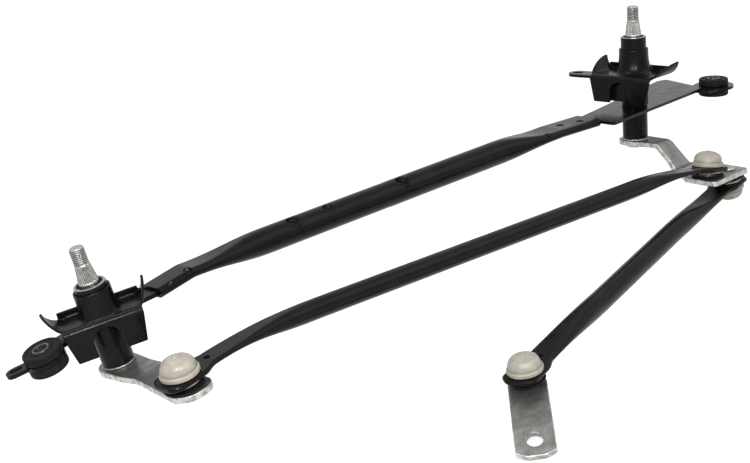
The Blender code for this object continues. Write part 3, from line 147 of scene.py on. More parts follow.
LEFT_LEVER_FRAME = LEFT @ spin('Z', -90)
RIGHT_LEVER_FRAME = RIGHT @ spin('Z', -90)
LEFT_REACH, LEFT_SIDE = lever_ball(LEFT_LEVER_LENGTH)
RIGHT_REACH, RIGHT_SIDE = lever_ball(RIGHT_LEVER_LENGTH)
RIGHT_PAD_TOP = RIGHT_LEVER_TOP - RIGHT_LEVER_DROP
LOWER_REACH, LOWER_SIDE = RIGHT_REACH + DRIVE_BALL_LEAD, RIGHT_SIDE + DRIVE_BALL_SPREAD
LEFT_BALL = LEFT_LEVER_FRAME @ shift(LEFT_REACH, LEFT_SIDE, LEFT_LEVER_TOP + LEFT_LEVER_RISE + BALL_HEIGHT)
UPPER_BALL = RIGHT_LEVER_FRAME @ shift(RIGHT_REACH, RIGHT_SIDE, RIGHT_PAD_TOP + BALL_HEIGHT)
LOWER_BALL = RIGHT_LEVER_FRAME @ shift(LOWER_REACH, LOWER_SIDE, RIGHT_PAD_TOP - LEVER_THICKNESS - BALL_HEIGHT)
LOWER_BALL = LOWER_BALL @ spin('X', 180)

TIE_ROD = rod_frame(UPPER_BALL[:3, 3], LEFT_BALL[:3, 3])
TIE_LENGTH = np.linalg.norm(LEFT_BALL[:3, 3] - UPPER_BALL[:3, 3])
TIE_NEAR = TIE_ROD @ spin('Y', -TIE_NEAR_BEND)
TIE_FAR = TIE_ROD @ shift(TIE_LENGTH, 0.0, 0.0) @ spin('Y', TIE_FAR_BEND)
MOTOR_POINT = LOWER_BALL[:3, 3] + DRIVE_LENGTH * (spin('Z', DRIVE_HEADING) @ spin('Y', DRIVE_DIP))[:3, 0]
DRIVE_ROD = rod_frame(LOWER_BALL[:3, 3], MOTOR_POINT)
DRIVE_SEAT = DRIVE_ROD @ spin('X', 180)
DRIVE_FAR = DRIVE_ROD @ shift(DRIVE_LENGTH, 0.0, 0.0) @ spin('Y', DRIVE_FAR_BEND)
CRANK = shift(*MOTOR_POINT) @ spin('Z', CRANK_HEADING) @ spin('Y', CRANK_TILT)
CRANK_MIDDLE = -CRANK_BALL_HEIGHT - CRANK_THICKNESS / 2
CRANK_END = CRANK @ shift(CRANK_LENGTH - CRANK_SETBACK, 0.0, CRANK_MIDDLE) @ spin('Y', CRANK_BEND)


# Corner radii
HAIR, FINE, SOFT, BROAD, PLUMP, ROUND = 0.0001, 0.0002, 0.0003, 0.0004, 0.0005, 0.0006


# Lines
def soft_line(corners, closed=False, steps=8):
    """A line through (a, b, radius) corners: each corner is cut back along both sides and bridged by the
    circular arc ((1-t)^2 P0 + 2t(1-t) w P1 + t^2 P2) / ((1-t)^2 + 2t(1-t) w + t^2), where w is the sine of
    half the corner."""
    corners = np.array(corners, float)
    spots = corners[:, :2]
    back = np.roll(spots, 1, axis=0) - spots
    ahead = np.roll(spots, -1, axis=0) - spots
    back_length = np.linalg.norm(back, axis=1)
    ahead_length = np.linalg.norm(ahead, axis=1)
    back = back / back_length[:, None]
    ahead = ahead / ahead_length[:, None]
    half = np.arccos(np.clip((back * ahead).sum(axis=1), -1.0, 1.0)) / 2
    setback = np.minimum(corners[:, 2] / np.tan(half), 0.49 * np.minimum(back_length, ahead_length))
    if not closed:
        setback[[0, -1]] = 0.0
    t = np.linspace(0.0, 1.0, steps + 1)[None, :, None]
    weight = np.sin(half)[:, None, None]
    first = (spots + back * setback[:, None])[:, None, :]
    last = (spots + ahead * setback[:, None])[:, None, :]
    middle = spots[:, None, :]
    share = (1 - t) ** 2 + 2 * t * (1 - t) * weight + t ** 2
    arcs = ((1 - t) ** 2 * first + 2 * t * (1 - t) * weight * middle + t ** 2 * last) / share
    line = arcs.reshape(-1, 2)
    fresh = np.linalg.norm(np.diff(line, axis=0, prepend=line[:1] - 1.0), axis=1) > 1e-7
    return line[fresh]


def evenly(line, count):
    """The same line with a given number of points, evenly spaced along it."""
    line = np.asarray(line, float)
    run = np.concatenate([[0.0], np.cumsum(np.linalg.norm(np.diff(line, axis=0), axis=1))])
    spots = np.linspace(0.0, run[-1], count)
    return np.stack([np.interp(spots, run, line[:, k]) for k in range(line.shape[1])], axis=1)


def arc(centre, radius, start, end, count):
    """Points on an arc between two angles in degrees."""
    angle = np.radians(np.linspace(start, end, count))
    return np.array(centre) + radius * np.stack([np.cos(angle), np.sin(angle)], axis=1)


def ease(share):
    """A smooth step from 0 to 1."""
    share = np.clip(share, 0.0, 1.0)
    return share * share * (3 - 2 * share)


def late_ease(share):
    """A smooth step from 0 to 1 that starts and ends more gently."""
    share = np.clip(share, 0.0, 1.0)
    return share ** 3 * (6 * share * share - 15 * share + 10)


# Meshes
def skin(name, rows, loop=False, marks=None, sharp=35):
    """A closed surface over rows of points: point (i, j) joins (i, j+1) round its row and (i+1, j) in the
    next row.  A loop joins the last row to the first; otherwise the end rows are filled."""
    rows = np.asarray(rows, float)
    count, around = rows.shape[:2]
    i = np.arange(count if loop else count - 1)[:, None]
    j = np.arange(around)[None, :]
    ahead, beside = (i + 1) % count, (j + 1) % around
    here, after = i * around, ahead * around
    quads = np.stack([here + j, here + beside, after + beside, after + j], axis=-1)
    faces = quads.reshape(-1, 4).tolist()
    if not loop:
        faces += [np.arange(around)[::-1].tolist(), (np.arange(around) + (count - 1) * around).tolist()]
    mesh = bpy.data.meshes.new(name)
    mesh.from_pydata(rows.reshape(-1, 3).tolist(), [], faces)
    for label, values in (marks or {}).items():
        attribute = mesh.attributes.new(label, 'FLOAT', 'POINT')
        spread = np.broadcast_to(values, (count, around)).astype(np.float32)
        attribute.data.foreach_set("value", np.ascontiguousarray(spread).ravel())
    weld(mesh, sharp)
    item = bpy.data.objects.new(name, mesh)
    scene.collection.objects.link(item)
    return item


def weld(mesh, sharp=35):
    """Closes seams and poles, turns the faces outwards and keeps only real edges sharp."""
    work = bmesh.new()
    work.from_mesh(mesh)
    bmesh.ops.remove_doubles(work, verts=work.verts, dist=1e-7)
    bmesh.ops.dissolve_degenerate(work, edges=work.edges, dist=1e-8)
    bmesh.ops.recalc_face_normals(work, faces=work.faces)
    work.to_mesh(mesh)
    work.free()
    mesh.shade_smooth()
    mesh.set_sharp_from_angle(angle=math.radians(sharp))


def combined(item, tools, operation, finish=None):
    """A piece after each tool is cut from it or joined to it; finish may add further modifiers."""
    for tool in tools:
        modifier = item.modifiers.new(operation.lower(), 'BOOLEAN')
        modifier.operation = operation
        modifier.object = tool
        modifier.solver = 'EXACT'
    if finish:
        finish(item)
    graph = bpy.context.evaluated_depsgraph_get()
    mesh = bpy.data.meshes.new_from_object(item.evaluated_get(graph))
    item.modifiers.clear()
    item.data = mesh
    for tool in tools:
        bpy.data.objects.remove(tool, do_unlink=True)
    weld(mesh)
    return item


def set_down(item, matrix):
    """Puts a piece's mesh in the part's frame."""
    item.data.transform(bpy_matrix(matrix))
    return item


def bpy_matrix(matrix):
    """A numpy frame as one of Blender's."""
    return Matrix(matrix.tolist())


def lathe(name, profile, matrix, count=96, loop=False, relief=None, marks=None, sharp=35):
    """A turned surface: profile point (r, h) spun through angle a is (r cos a, r sin a, h), where relief
    may add a height of its own to r at each (a, h)."""
    profile = np.asarray(profile, float)
    angle = np.linspace(0.0, 2 * math.pi, count, endpoint=False)[None, :]
    radius, height = profile[:, :1] + 0 * angle, profile[:, 1:] + 0 * angle
    if relief is not None:
        radius = radius + relief(angle, height)
    rows = np.stack([radius * np.cos(angle), radius * np.sin(angle), height], axis=-1)
    return skin(name, moved(rows, matrix), loop, marks, sharp)


def stadium(widths, heights, around):
    """Sections of two half circles with flats between them, their points evenly spaced round the edge:
    with q the way round from the foot of one half circle, side and up follow the arc, the top flat, the
    other arc and the bottom flat in turn, so a section is a circle where its width is its height."""
    radius = heights[:, None] / 2
    flat = np.maximum(widths - heights, 0.0)[:, None]
    half_turn = math.pi * radius
    way = (np.arange(around) + 0.5) / around * 2 * (half_turn + flat)
    second = way >= half_turn + flat
    way = way - second * (half_turn + flat)
    angle = np.minimum(way, half_turn) / radius - math.pi / 2
    across = flat / 2 + radius * np.cos(angle) - np.maximum(way - half_turn, 0.0)
    rise = radius * np.sin(angle)
    sign = 1.0 - 2.0 * second
    return sign * across, sign * rise


def pressed_tube(name, centres, ups, widths, heights, around=64, dents=(), run=None):
    """A tube along its middle line, round or pressed flat, with dents pushed into it.  Where a run is given
    every section faces it, so the middle line may turn back at the rims."""
    along = np.gradient(centres, axis=0) if run is None else np.broadcast_to(run, centres.shape)
    along = along / np.maximum(np.linalg.norm(along, axis=1), 1e-12)[:, None]
    side = np.cross(ups, along)
    side /= np.linalg.norm(side, axis=1)[:, None]
    normal = np.cross(along, side) if run is None else ups
    across, rise = stadium(widths, heights, around)
    rows = centres[:, None] + across[..., None] * side[:, None] + rise[..., None] * normal[:, None]
    for spot, inward, radius, depth in dents:
        rows = dented(rows, np.array(spot), np.array(inward), radius, depth)
    return skin(name, rows)


DENT_SLOPE = 0.32


def dented(rows, spot, inward, radius, depth):
    """Pushes points near a spot inwards: by the full depth in the middle, eased to nothing at the radius."""
    reach = rows - spot
    deep = reach @ inward
    away = np.linalg.norm(reach - deep[..., None] * inward, axis=-1) / radius
    share = ease((1.0 - away) / DENT_SLOPE) * (deep < radius)
    return rows + inward * (share * depth)[..., None]


def side_lines(outline, count):
    """Splits a closed outline at its lowest and highest reach into two side lines of evenly spaced points."""
    outline = np.asarray(outline, float)
    start = int(np.argmin(outline[:, 0]))
    outline = np.roll(outline, -start, axis=0)
    end = int(np.argmax(outline[:, 0]))
    first = evenly(outline[:end + 1], count)
    second = evenly(np.concatenate([outline[end:], outline[:1]])[::-1], count)
    return first, second


def plate(name, outline, line, thickness, edge=ROUND, count=240, across=10):
    """A plate cut to an outline in (reach, side) and bent along a (reach, height) line.

    Along, u runs from tip to tip of both side lines.  Across, v runs over the top from side to side,
    round the far edge by a quarter circle, underneath and round the near edge.  Each point is then the
    bend line at its reach, plus its own side, plus its height along the line's normal."""
    near, far = side_lines(outline, count)
    inward = []
    for chain, other in ((near, far), (far, near)):
        ahead = np.gradient(chain, axis=0)
        ahead /= np.linalg.norm(ahead, axis=1)[:, None]
        normal = np.stack([-ahead[:, 1], ahead[:, 0]], axis=1)
        middle = len(chain) // 2
        normal *= np.sign(normal[middle] @ (other[middle] - chain[middle]))
        normal[[0, -1]] = [[1.0, 0.0], [-1.0, 0.0]]
        inward.append(normal)
    half = thickness / 2
    quarter = np.linspace(0.0, math.pi / 2, 5)
    inset, level = edge * (1 - np.sin(quarter)), half - edge * (1 - np.cos(quarter))
    ring_inset = np.concatenate([inset, inset[::-1]])
    ring_level = np.concatenate([level, -level[::-1]])
    share = np.linspace(0.0, 1.0, across)[1:-1]
    near_top, far_top = near + inward[0] * edge, far + inward[1] * edge
    top = near_top[:, None] * (1 - share[:, None]) + far_top[:, None] * share[:, None]
    far_edge = far[:, None] + inward[1][:, None] * ring_inset[:, None]
    near_edge = near[:, None] + inward[0][:, None] * ring_inset[::-1, None]
    flat = np.concatenate([top, far_edge, top[:, ::-1], near_edge], axis=1)
    levels = np.concatenate([0 * share + half, ring_level, 0 * share - half, ring_level[::-1]])
    # The rounded edge ring is marked "cut"; the zinc finish paints a brighter edge highlight there.
    rim = np.concatenate([[0.0], np.ones(len(ring_level) - 2), [0.0]])
    cut = np.concatenate([0 * share, rim, 0 * share, rim])
    bend = np.asarray(line, float)
    slope = np.arctan2(np.gradient(bend[:, 1]), np.gradient(bend[:, 0]))
    reach, side = flat[..., 0], flat[..., 1]
    tilt = np.interp(reach, bend[:, 0], slope)
    rows = np.stack([reach - np.sin(tilt) * levels, side,
                     np.interp(reach, bend[:, 0], bend[:, 1]) + np.cos(tilt) * levels], axis=-1)
    return skin(name, rows, marks={"cut": cut})


def dense(line, step=0.0004):
    """A line with points at least every step."""
    length = np.linalg.norm(np.diff(line, axis=0), axis=1).sum()
    return evenly(line, int(length / step) + 2)


def peg(radius, low, high, at=(0.0, 0.0), flare=0.0, count=64):
    """A closed round tool along Z, flared at both rims to break the edges of the hole that it cuts."""
    profile = [(0.0, high + flare), (radius + 2 * flare, high + flare), (radius, high - flare),
               (radius, low + flare), (radius + 2 * flare, low - flare), (0.0, low - flare)]
    matrix = np.eye(4)
    matrix[:2, 3] = at
    return lathe("tool", profile, matrix, count)


# Materials
def node(tree, kind, inputs=None, **settings):
    """One node with its settings, values and links."""
    item = tree.nodes.new(kind)
    for label, value in settings.items():
        setattr(item, label, value)
    for label, value in (inputs or {}).items():
        if isinstance(value, bpy.types.NodeSocket):
            tree.links.new(value, item.inputs[label])
        else:
            item.inputs[label].default_value = value
    return item


def noise(tree, scale, detail=3.0, rough=0.55):
    """Noise on the object's own coordinates; scale is in lumps per metre."""
    place = node(tree, 'ShaderNodeTexCoord')
    return node(tree, 'ShaderNodeTexNoise', {"Vector": place.outputs["Object"], "Scale": scale,
                                             "Detail": detail, "Roughness": rough}).outputs["Fac"]


def ramp(tree, factor, low, high, start, end):
    """Maps a factor between two limits to numbers between start and end."""
    return node(tree, 'ShaderNodeMapRange', {"Value": factor, "From Min": low, "From Max": high,
                                             "To Min": start, "To Max": end}).outputs["Result"]


def blend(tree, factor, one, two):
    """A colour between two colours."""
    item = node(tree, 'ShaderNodeMix', data_type='RGBA')
    for label, value in (("Factor_Float", factor), ("A_Color", one), ("B_Color", two)):
        socket = next(s for s in item.inputs if s.identifier == label)
        if isinstance(value, bpy.types.NodeSocket):
            tree.links.new(value, socket)
        else:
            socket.default_value = value if label == "Factor_Float" else (*value, 1.0)
    return next(s for s in item.outputs if s.identifier == "Result_Color")


def mark(tree, label):
    """A value kept on the points of a piece."""
    return node(tree, 'ShaderNodeAttribute', attribute_name=label).outputs["Fac"]


def new_finish(name, **constants):
    """A material with the even values of its shader set; returns it with its tree and shader."""
    material = bpy.data.materials.new(name)
    material.use_nodes = True
    tree = material.node_tree
    shader = tree.nodes["Principled BSDF"]
    for label, value in constants.items():
        shader.inputs[label.replace("_", " ")].default_value = value
    return material, tree, shader


def link(tree, shader, **sockets):
    """Links worked-out values to a shader."""
    for label, value in sockets.items():
        tree.links.new(value, shader.inputs[label.replace("_", " ")])


def bump(tree, height, distance, strength=1.0):
    """A bump of a given depth in metres."""
    return node(tree, 'ShaderNodeBump', {"Height": height, "Distance": distance,
                                         "Strength": strength}).outputs["Normal"]


def black_paint():
    """Dipped black paint: near black, with cloudy gloss, a fine orange peel and bare metal where marked."""
    material, tree, shader = new_finish("black_paint_finish", Specular_IOR_Level=0.10)
    cloud = noise(tree, 55.0, 4.0)
    speck = ramp(tree, noise(tree, 1500.0, 2.0), 0.66, 0.74, 0.0, 1.0)
    shade = ramp(tree, cloud, 0.35, 0.7, 0.0, 1.0)
    colour = blend(tree, shade, (0.0018, 0.0018, 0.002), (0.0045, 0.0045, 0.0048))
    colour = blend(tree, ramp(tree, speck, 0.0, 1.0, 0.0, 0.3), colour, (0.05, 0.05, 0.052))
    bare = mark(tree, "bare")
    colour = blend(tree, bare, colour, (0.34, 0.335, 0.32))
    link(tree, shader, Base_Color=colour, Metallic=bare,
         Roughness=ramp(tree, noise(tree, 130.0, 5.0), 0.3, 0.7, 0.2, 0.31),
         Normal=bump(tree, noise(tree, 900.0, 2.0), 0.00006, 0.5))
    return material


def zinc_plate():
    """Zinc plated plate: mottled grey faces, and a painted edge highlight, brighter colour along the sheared edges."""
    material, tree, shader = new_finish("zinc_plate_finish", Metallic=0.9)
    cloud = noise(tree, 120.0, 5.0, 0.65)
    grain = noise(tree, 1300.0, 3.0)
    face = blend(tree, ramp(tree, cloud, 0.34, 0.66, 0.0, 1.0), (0.15, 0.148, 0.141), (0.27, 0.266, 0.255))
    face = blend(tree, ramp(tree, grain, 0.3, 0.7, 0.0, 0.3), face, (0.11, 0.108, 0.10))
    edge_highlight_streaks = ramp(tree, noise(tree, 260.0, 4.0), 0.38, 0.62, 0.0, 1.0)
    painted_edge_highlight = blend(tree, edge_highlight_streaks, (0.26, 0.257, 0.248), (0.52, 0.515, 0.50))
    # Where the plate's edge ring is marked "cut" the colour is a painted edge highlight, streaked by noise.
    colour = blend(tree, mark(tree, "cut"), face, painted_edge_highlight)
    link(tree, shader, Base_Color=colour,
         Roughness=ramp(tree, grain, 0.3, 0.7, 0.3, 0.5),
         Normal=bump(tree, grain, 0.00005, 0.6))
    return material


def bright_steel():
    """Turned steel: light, finely lined, with painted shade where the thread and spline grooves are marked."""
    material, tree, shader = new_finish("bright_steel_finish", Metallic=0.95)
    cloud = noise(tree, 420.0, 4.0)
    colour = blend(tree, ramp(tree, cloud, 0.3, 0.7, 0.0, 1.0), (0.27, 0.267, 0.255), (0.46, 0.455, 0.44))
    # Painted shade: darker colour where the grooves are marked.
    colour = blend(tree, mark(tree, "groove"), colour, (0.045, 0.044, 0.042))
    link(tree, shader, Base_Color=colour,
         Roughness=ramp(tree, cloud, 0.3, 0.7, 0.34, 0.5),
         Normal=bump(tree, noise(tree, 2600.0, 2.0), 0.00003, 0.5))
    return material


def dark_steel():
    """Blackened steel: dark grey with a cloudy sheen."""
    material, tree, shader = new_finish("dark_steel_finish", Metallic=0.8)
    cloud = noise(tree, 300.0, 4.0)
    colour = blend(tree, ramp(tree, cloud, 0.35, 0.65, 0.0, 1.0), (0.035, 0.035, 0.036), (0.11, 0.11, 0.108))
    link(tree, shader, Base_Color=colour, Roughness=ramp(tree, cloud, 0.3, 0.7, 0.3, 0.5))
    return material


def cream_nylon():
    """Moulded nylon: warm cream with faint clouds, and painted shade in its creases."""
    material, tree, shader = new_finish("cream_nylon_finish", Subsurface_Weight=0.12, Subsurface_Scale=0.002)
    cloud = noise(tree, 160.0, 4.0)
    colour = blend(tree, ramp(tree, cloud, 0.35, 0.7, 0.0, 1.0), (0.24, 0.223, 0.183), (0.315, 0.298, 0.253))
    stain = ramp(tree, noise(tree, 420.0, 4.0), 0.56, 0.72, 0.0, 0.35)
    colour = blend(tree, stain, colour, (0.26, 0.23, 0.18))
    # Painted shade: darker colour where the dome's crease and foot are marked.
    colour = blend(tree, mark(tree, "groove"), colour, (0.13, 0.115, 0.09))
    link(tree, shader, Base_Color=colour,
         Roughness=ramp(tree, cloud, 0.3, 0.7, 0.34, 0.5),
         Normal=bump(tree, noise(tree, 700.0, 3.0), 0.00006, 0.4))
    return material


def black_rubber():
    """Moulded rubber: dull black with a fine grain and a dusty bloom."""
    material, tree, shader = new_finish("black_rubber_finish", Specular_IOR_Level=0.1)
    bloom = noise(tree, 220.0, 5.0)
    dust = ramp(tree, bloom, 0.4, 0.72, 0.0, 1.0)
    colour = blend(tree, dust, (0.004, 0.004, 0.0044), (0.011, 0.011, 0.0115))
    link(tree, shader, Base_Color=colour,
         Roughness=ramp(tree, bloom, 0.3, 0.7, 0.5, 0.72),
         Normal=bump(tree, noise(tree, 1800.0, 3.0), 0.00008, 0.6))
    return material


def bush_bronze():
    """Sintered bronze: brown with dark pores."""
    material, tree, shader = new_finish("bush_bronze_finish", Metallic=0.9)
    pores = noise(tree, 1600.0, 4.0)
    colour = blend(tree, ramp(tree, pores, 0.4, 0.65, 0.0, 1.0), (0.24, 0.15, 0.07), (0.46, 0.30, 0.14))
    link(tree, shader, Base_Color=colour, Roughness=ramp(tree, pores, 0.3, 0.7, 0.35, 0.55))
    return material


FINISHES = {
    "black_paint": black_paint(),
    "zinc_plate": zinc_plate(),
    "bright_steel": bright_steel(),
    "dark_steel": dark_steel(),
    "cream_nylon": cream_nylon(),
    "black_rubber": black_rubber(),
    "bush_bronze": bush_bronze(),
}


def fit(item, body, slot, *nodes, finish=None):
    """Finishes a piece, rides it on its body and lets it stand for its solids."""
    item.data.materials.clear()
    item.data.materials.append(FINISHES[finish or slot])
    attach(item, body)
    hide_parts(*nodes)


# Pivot stacks
TUBE_STEP = 0.0005
BARE_RIM, BARE_FADE = 0.0005, 0.0003
SEAL_TOP, SEAL_LIP, SEAL_DISH, SEAL_FOOT = -0.0006, -0.0012, -0.0014, -0.0032
THREAD_PITCH, THREAD_DEPTH, THREAD_RADIUS = 0.00125, 0.0007, 0.0050
THREAD_FOOT, THREAD_MARGIN, THREAD_FADE = 0.0128, 0.0003, 0.0012
TIP_RADIUS, TIP_CHAMFER = 0.0038, 0.0012
SPLINE_TEETH, SPLINE_DEPTH, SPLINE_FADE = 30, 0.00055, 0.0008
SPLINE_TOP, SPLINE_TOP_RADIUS = 0.0122, 0.0051
SPLINE_END, SPLINE_END_RADIUS = 0.0030, 0.0064
SPLINE_FOOT, COLLAR_TOP, COLLAR_RADIUS = 0.0014, 0.0012, 0.0065
RING_TOP, RING_FOOT, RING_RADIUS = -0.0032, -0.0050, 0.0052
SHAFT_RIVET, SHAFT_RIVET_FOOT, RIVET_HEIGHT = 0.0084, 0.0074, 0.0018
SHAFT_COUNT, SHAFT_STEP, GROOVE_SHADE = 180, 0.00011, 0.85
WASHER_RADIUS, WASHER_BORE = 0.0108, 0.0063


def pivot_tube(side, matrix, length):
    """The bearing tube: a ring with softened rims, its top rim bare metal."""
    profile = soft_line([(TUBE_OUTER, 0.0, ROUND), (TUBE_OUTER, -length, PLUMP), (TUBE_BORE, -length, BROAD),
                         (TUBE_BORE, 0.0, PLUMP)], closed=True, steps=5)
    profile = dense(np.concatenate([profile, profile[:1]]), TUBE_STEP)[:-1]
    bare = ease((profile[:, 1:] + BARE_RIM) / BARE_FADE)
    tube = lathe(side + "_bearing_tube", profile, matrix, loop=True, marks={"bare": bare})
    fit(tube, "frame", "black_paint", side + "_pivot_tube")


def shaft_seal(side, matrix):
    """The seal at the mouth of the tube: a ring with a rounded lip against the shaft."""
    inner, outer = SHAFT_RADIUS + FIT, TUBE_BORE - FIT
    profile = soft_line([(outer, SEAL_TOP, BROAD), (outer, SEAL_FOOT, SOFT), (inner, SEAL_FOOT, SOFT),
                         (inner, SEAL_LIP, BROAD), ((inner + outer) / 2, SEAL_DISH, PLUMP)], closed=True, steps=5)
    fit(lathe(side + "_seal", profile, matrix, loop=True), "frame", "black_rubber", side + "_shaft_seal")


def thread_relief(angle, height):
    """Thread: a V that sinks by the depth once per pitch along a helix, h / pitch + a / turn.
    Spline: V grooves round the taper.  Both fade out at their ends."""
    turn = height / THREAD_PITCH + angle / (2 * math.pi)
    groove = 1.0 - 2.0 * np.abs(turn % 1.0 - 0.5)
    cover = ease((height - THREAD_FOOT - FINE) / THREAD_FADE)
    cover = cover * ease((SHAFT_STAND - THREAD_MARGIN - height) / THREAD_FADE)
    tooth = angle * SPLINE_TEETH / (2 * math.pi)
    valley = np.clip(1.25 - 2.5 * np.abs(tooth % 1.0 - 0.5), 0.0, 1.0)
    reach = ease((height - SPLINE_FOOT) / SPLINE_FADE) * ease((THREAD_FOOT - height) / (SPLINE_FADE - HAIR))
    return -THREAD_DEPTH * groove * cover - SPLINE_DEPTH * valley * reach


def pivot_shaft(side, body, matrix, lever_top):
    """Threaded end, splined taper, collar, journal with its ring groove, and the riveted foot."""
    foot = lever_top - LEVER_THICKNESS - FIT
    rivet = foot - RIVET_HEIGHT
    profile = soft_line([
        (0.0, SHAFT_STAND, 0.0), (TIP_RADIUS, SHAFT_STAND, SOFT), (THREAD_RADIUS, SHAFT_STAND - TIP_CHAMFER, BROAD),
        (THREAD_RADIUS, THREAD_FOOT, SOFT), (SPLINE_TOP_RADIUS, SPLINE_TOP, SOFT),
        (SPLINE_END_RADIUS, SPLINE_END, BROAD), (COLLAR_RADIUS, COLLAR_TOP, SOFT), (COLLAR_RADIUS, FIT, FINE),
        (SHAFT_RADIUS, 0.0, FINE), (SHAFT_RADIUS, RING_TOP, HAIR), (RING_RADIUS, RING_TOP, HAIR),
        (RING_RADIUS, RING_FOOT, HAIR), (SHAFT_RADIUS, RING_FOOT, HAIR), (SHAFT_RADIUS, foot, FINE),
        (SHAFT_RIVET, foot, BROAD), (SHAFT_RIVET_FOOT, rivet, ROUND), (0.0, rivet, 0.0)], steps=4)
    upper = profile[:, 1] > COLLAR_TOP - FINE
    profile = np.concatenate([dense(profile[upper], SHAFT_STEP), profile[~upper]])
    angle = np.linspace(0.0, 2 * math.pi, SHAFT_COUNT, endpoint=False)[None, :]
    # Points sunk deeper in the thread and spline grooves are marked darker: painted shade in the grooves.
    painted_groove_shade = -thread_relief(angle, profile[:, 1:]) / THREAD_DEPTH
    shaft = lathe(side + "_wiper_shaft", profile, matrix, SHAFT_COUNT, relief=thread_relief,
                  marks={"groove": GROOVE_SHADE * painted_groove_shade}, sharp=180)
    fit(shaft, body, "bright_steel", side + "_pivot_shaft")


def thrust_washer(side, body, matrix, lever_top):
    """The washer between tube and lever, with softened rims."""
    low, high = lever_top + FIT, lever_top + FIT + WASHER_THICKNESS
    profile = soft_line([(WASHER_RADIUS, high, SOFT), (WASHER_RADIUS, low, SOFT), (WASHER_BORE, low, FINE),
                         (WASHER_BORE, high, FINE)], closed=True, steps=4)
    washer = lathe(side + "_foot_washer", profile, matrix, loop=True)
    fit(washer, body, "bright_steel", side + "_thrust_washer")


# Ball joints
STUD_NECK, STUD_FLANGE, STUD_FLANGE_HEIGHT = 0.0042, 0.0072, 0.0012
STUD_RIVET, STUD_RIVET_FOOT = 0.0064, 0.0052
BOOT_RADIUS, BOOT_GROOVE, BOOT_BORE, BOOT_HEIGHT = 0.0130, 0.01255, 0.0075, 0.0012
ROD_BOOT_HEIGHT, ROD_BOOT_BORE = 0.0011, 0.0089
DOME_RADIUS, DOME_SQUARE, DOME_HEIGHT = 0.0113, 0.78, 0.0084
DOME_CREASE, CREASE_DEPTH, CREASE_WIDTH = 0.0075, 0.0002, 0.0005
DOME_FOOT_ANGLE = math.pi / 2 - 0.10
SOCKET_FLANGE, SOCKET_FLANGE_HEIGHT = 0.01265, 0.0035
SOCKET_LIP, SOCKET_LIP_HEIGHT, SOCKET_MOUTH = 0.0112, 0.0013, 0.0085
SOCKET_FOOT = -ROD_DEPTH - ROD_THICKNESS - FIT - SOCKET_LIP_HEIGHT


def ball_stud(name, body, matrix, height, thickness):
    """A ball, its neck and flange, and the shank riveted under the plate."""
    angle = np.linspace(0.0, math.pi - math.asin(STUD_NECK / BALL_RADIUS), 40)
    ball = BALL_RADIUS * np.stack([np.sin(angle), np.cos(angle)], axis=1)
    seat, tail = FIT - height, -height - thickness - FIT
    flange, rivet = seat + STUD_FLANGE_HEIGHT, tail - RIVET_HEIGHT
    stem = soft_line([(STUD_NECK, ball[-1, 1], 0.0), (STUD_NECK, flange, FINE), (STUD_FLANGE, flange, SOFT),
                      (STUD_FLANGE, seat, FINE), (STUD_SHANK, seat, HAIR), (STUD_SHANK, tail, HAIR),
                      (STUD_RIVET, tail, BROAD), (STUD_RIVET_FOOT, rivet, ROUND), (0.0, rivet, 0.0)], steps=4)
    stud = lathe(name + "_turned", np.concatenate([ball, stem[1:]]), matrix, 72)
    fit(stud, body, "bright_steel", name)


def ball_boot(name, body, matrix, height):
    """A soft dust ring round the stud's flange, its rim grooved."""
    low, high = FIT - height, FIT - height + BOOT_HEIGHT
    profile = soft_line([(BOOT_RADIUS, high, SOFT), (BOOT_GROOVE, (low + high) / 2, FINE), (BOOT_RADIUS, low, SOFT),
                         (BOOT_BORE, low, FINE), (BOOT_BORE, high, SOFT)], closed=True, steps=5)
    fit(lathe(name + "_ring", profile, matrix, loop=True), body, "black_rubber", name)


def rod_boot(name, body, matrix):
    """A plain dust ring under a rod's socket."""
    high = SOCKET_FOOT - FIT
    low = high - ROD_BOOT_HEIGHT
    profile = soft_line([(BOOT_RADIUS, high, BROAD), (BOOT_RADIUS, low, BROAD), (ROD_BOOT_BORE, low, SOFT),
                         (ROD_BOOT_BORE, high, SOFT)], closed=True, steps=5)
    fit(lathe(name + "_ring", profile, matrix, loop=True), body, "black_rubber", name)


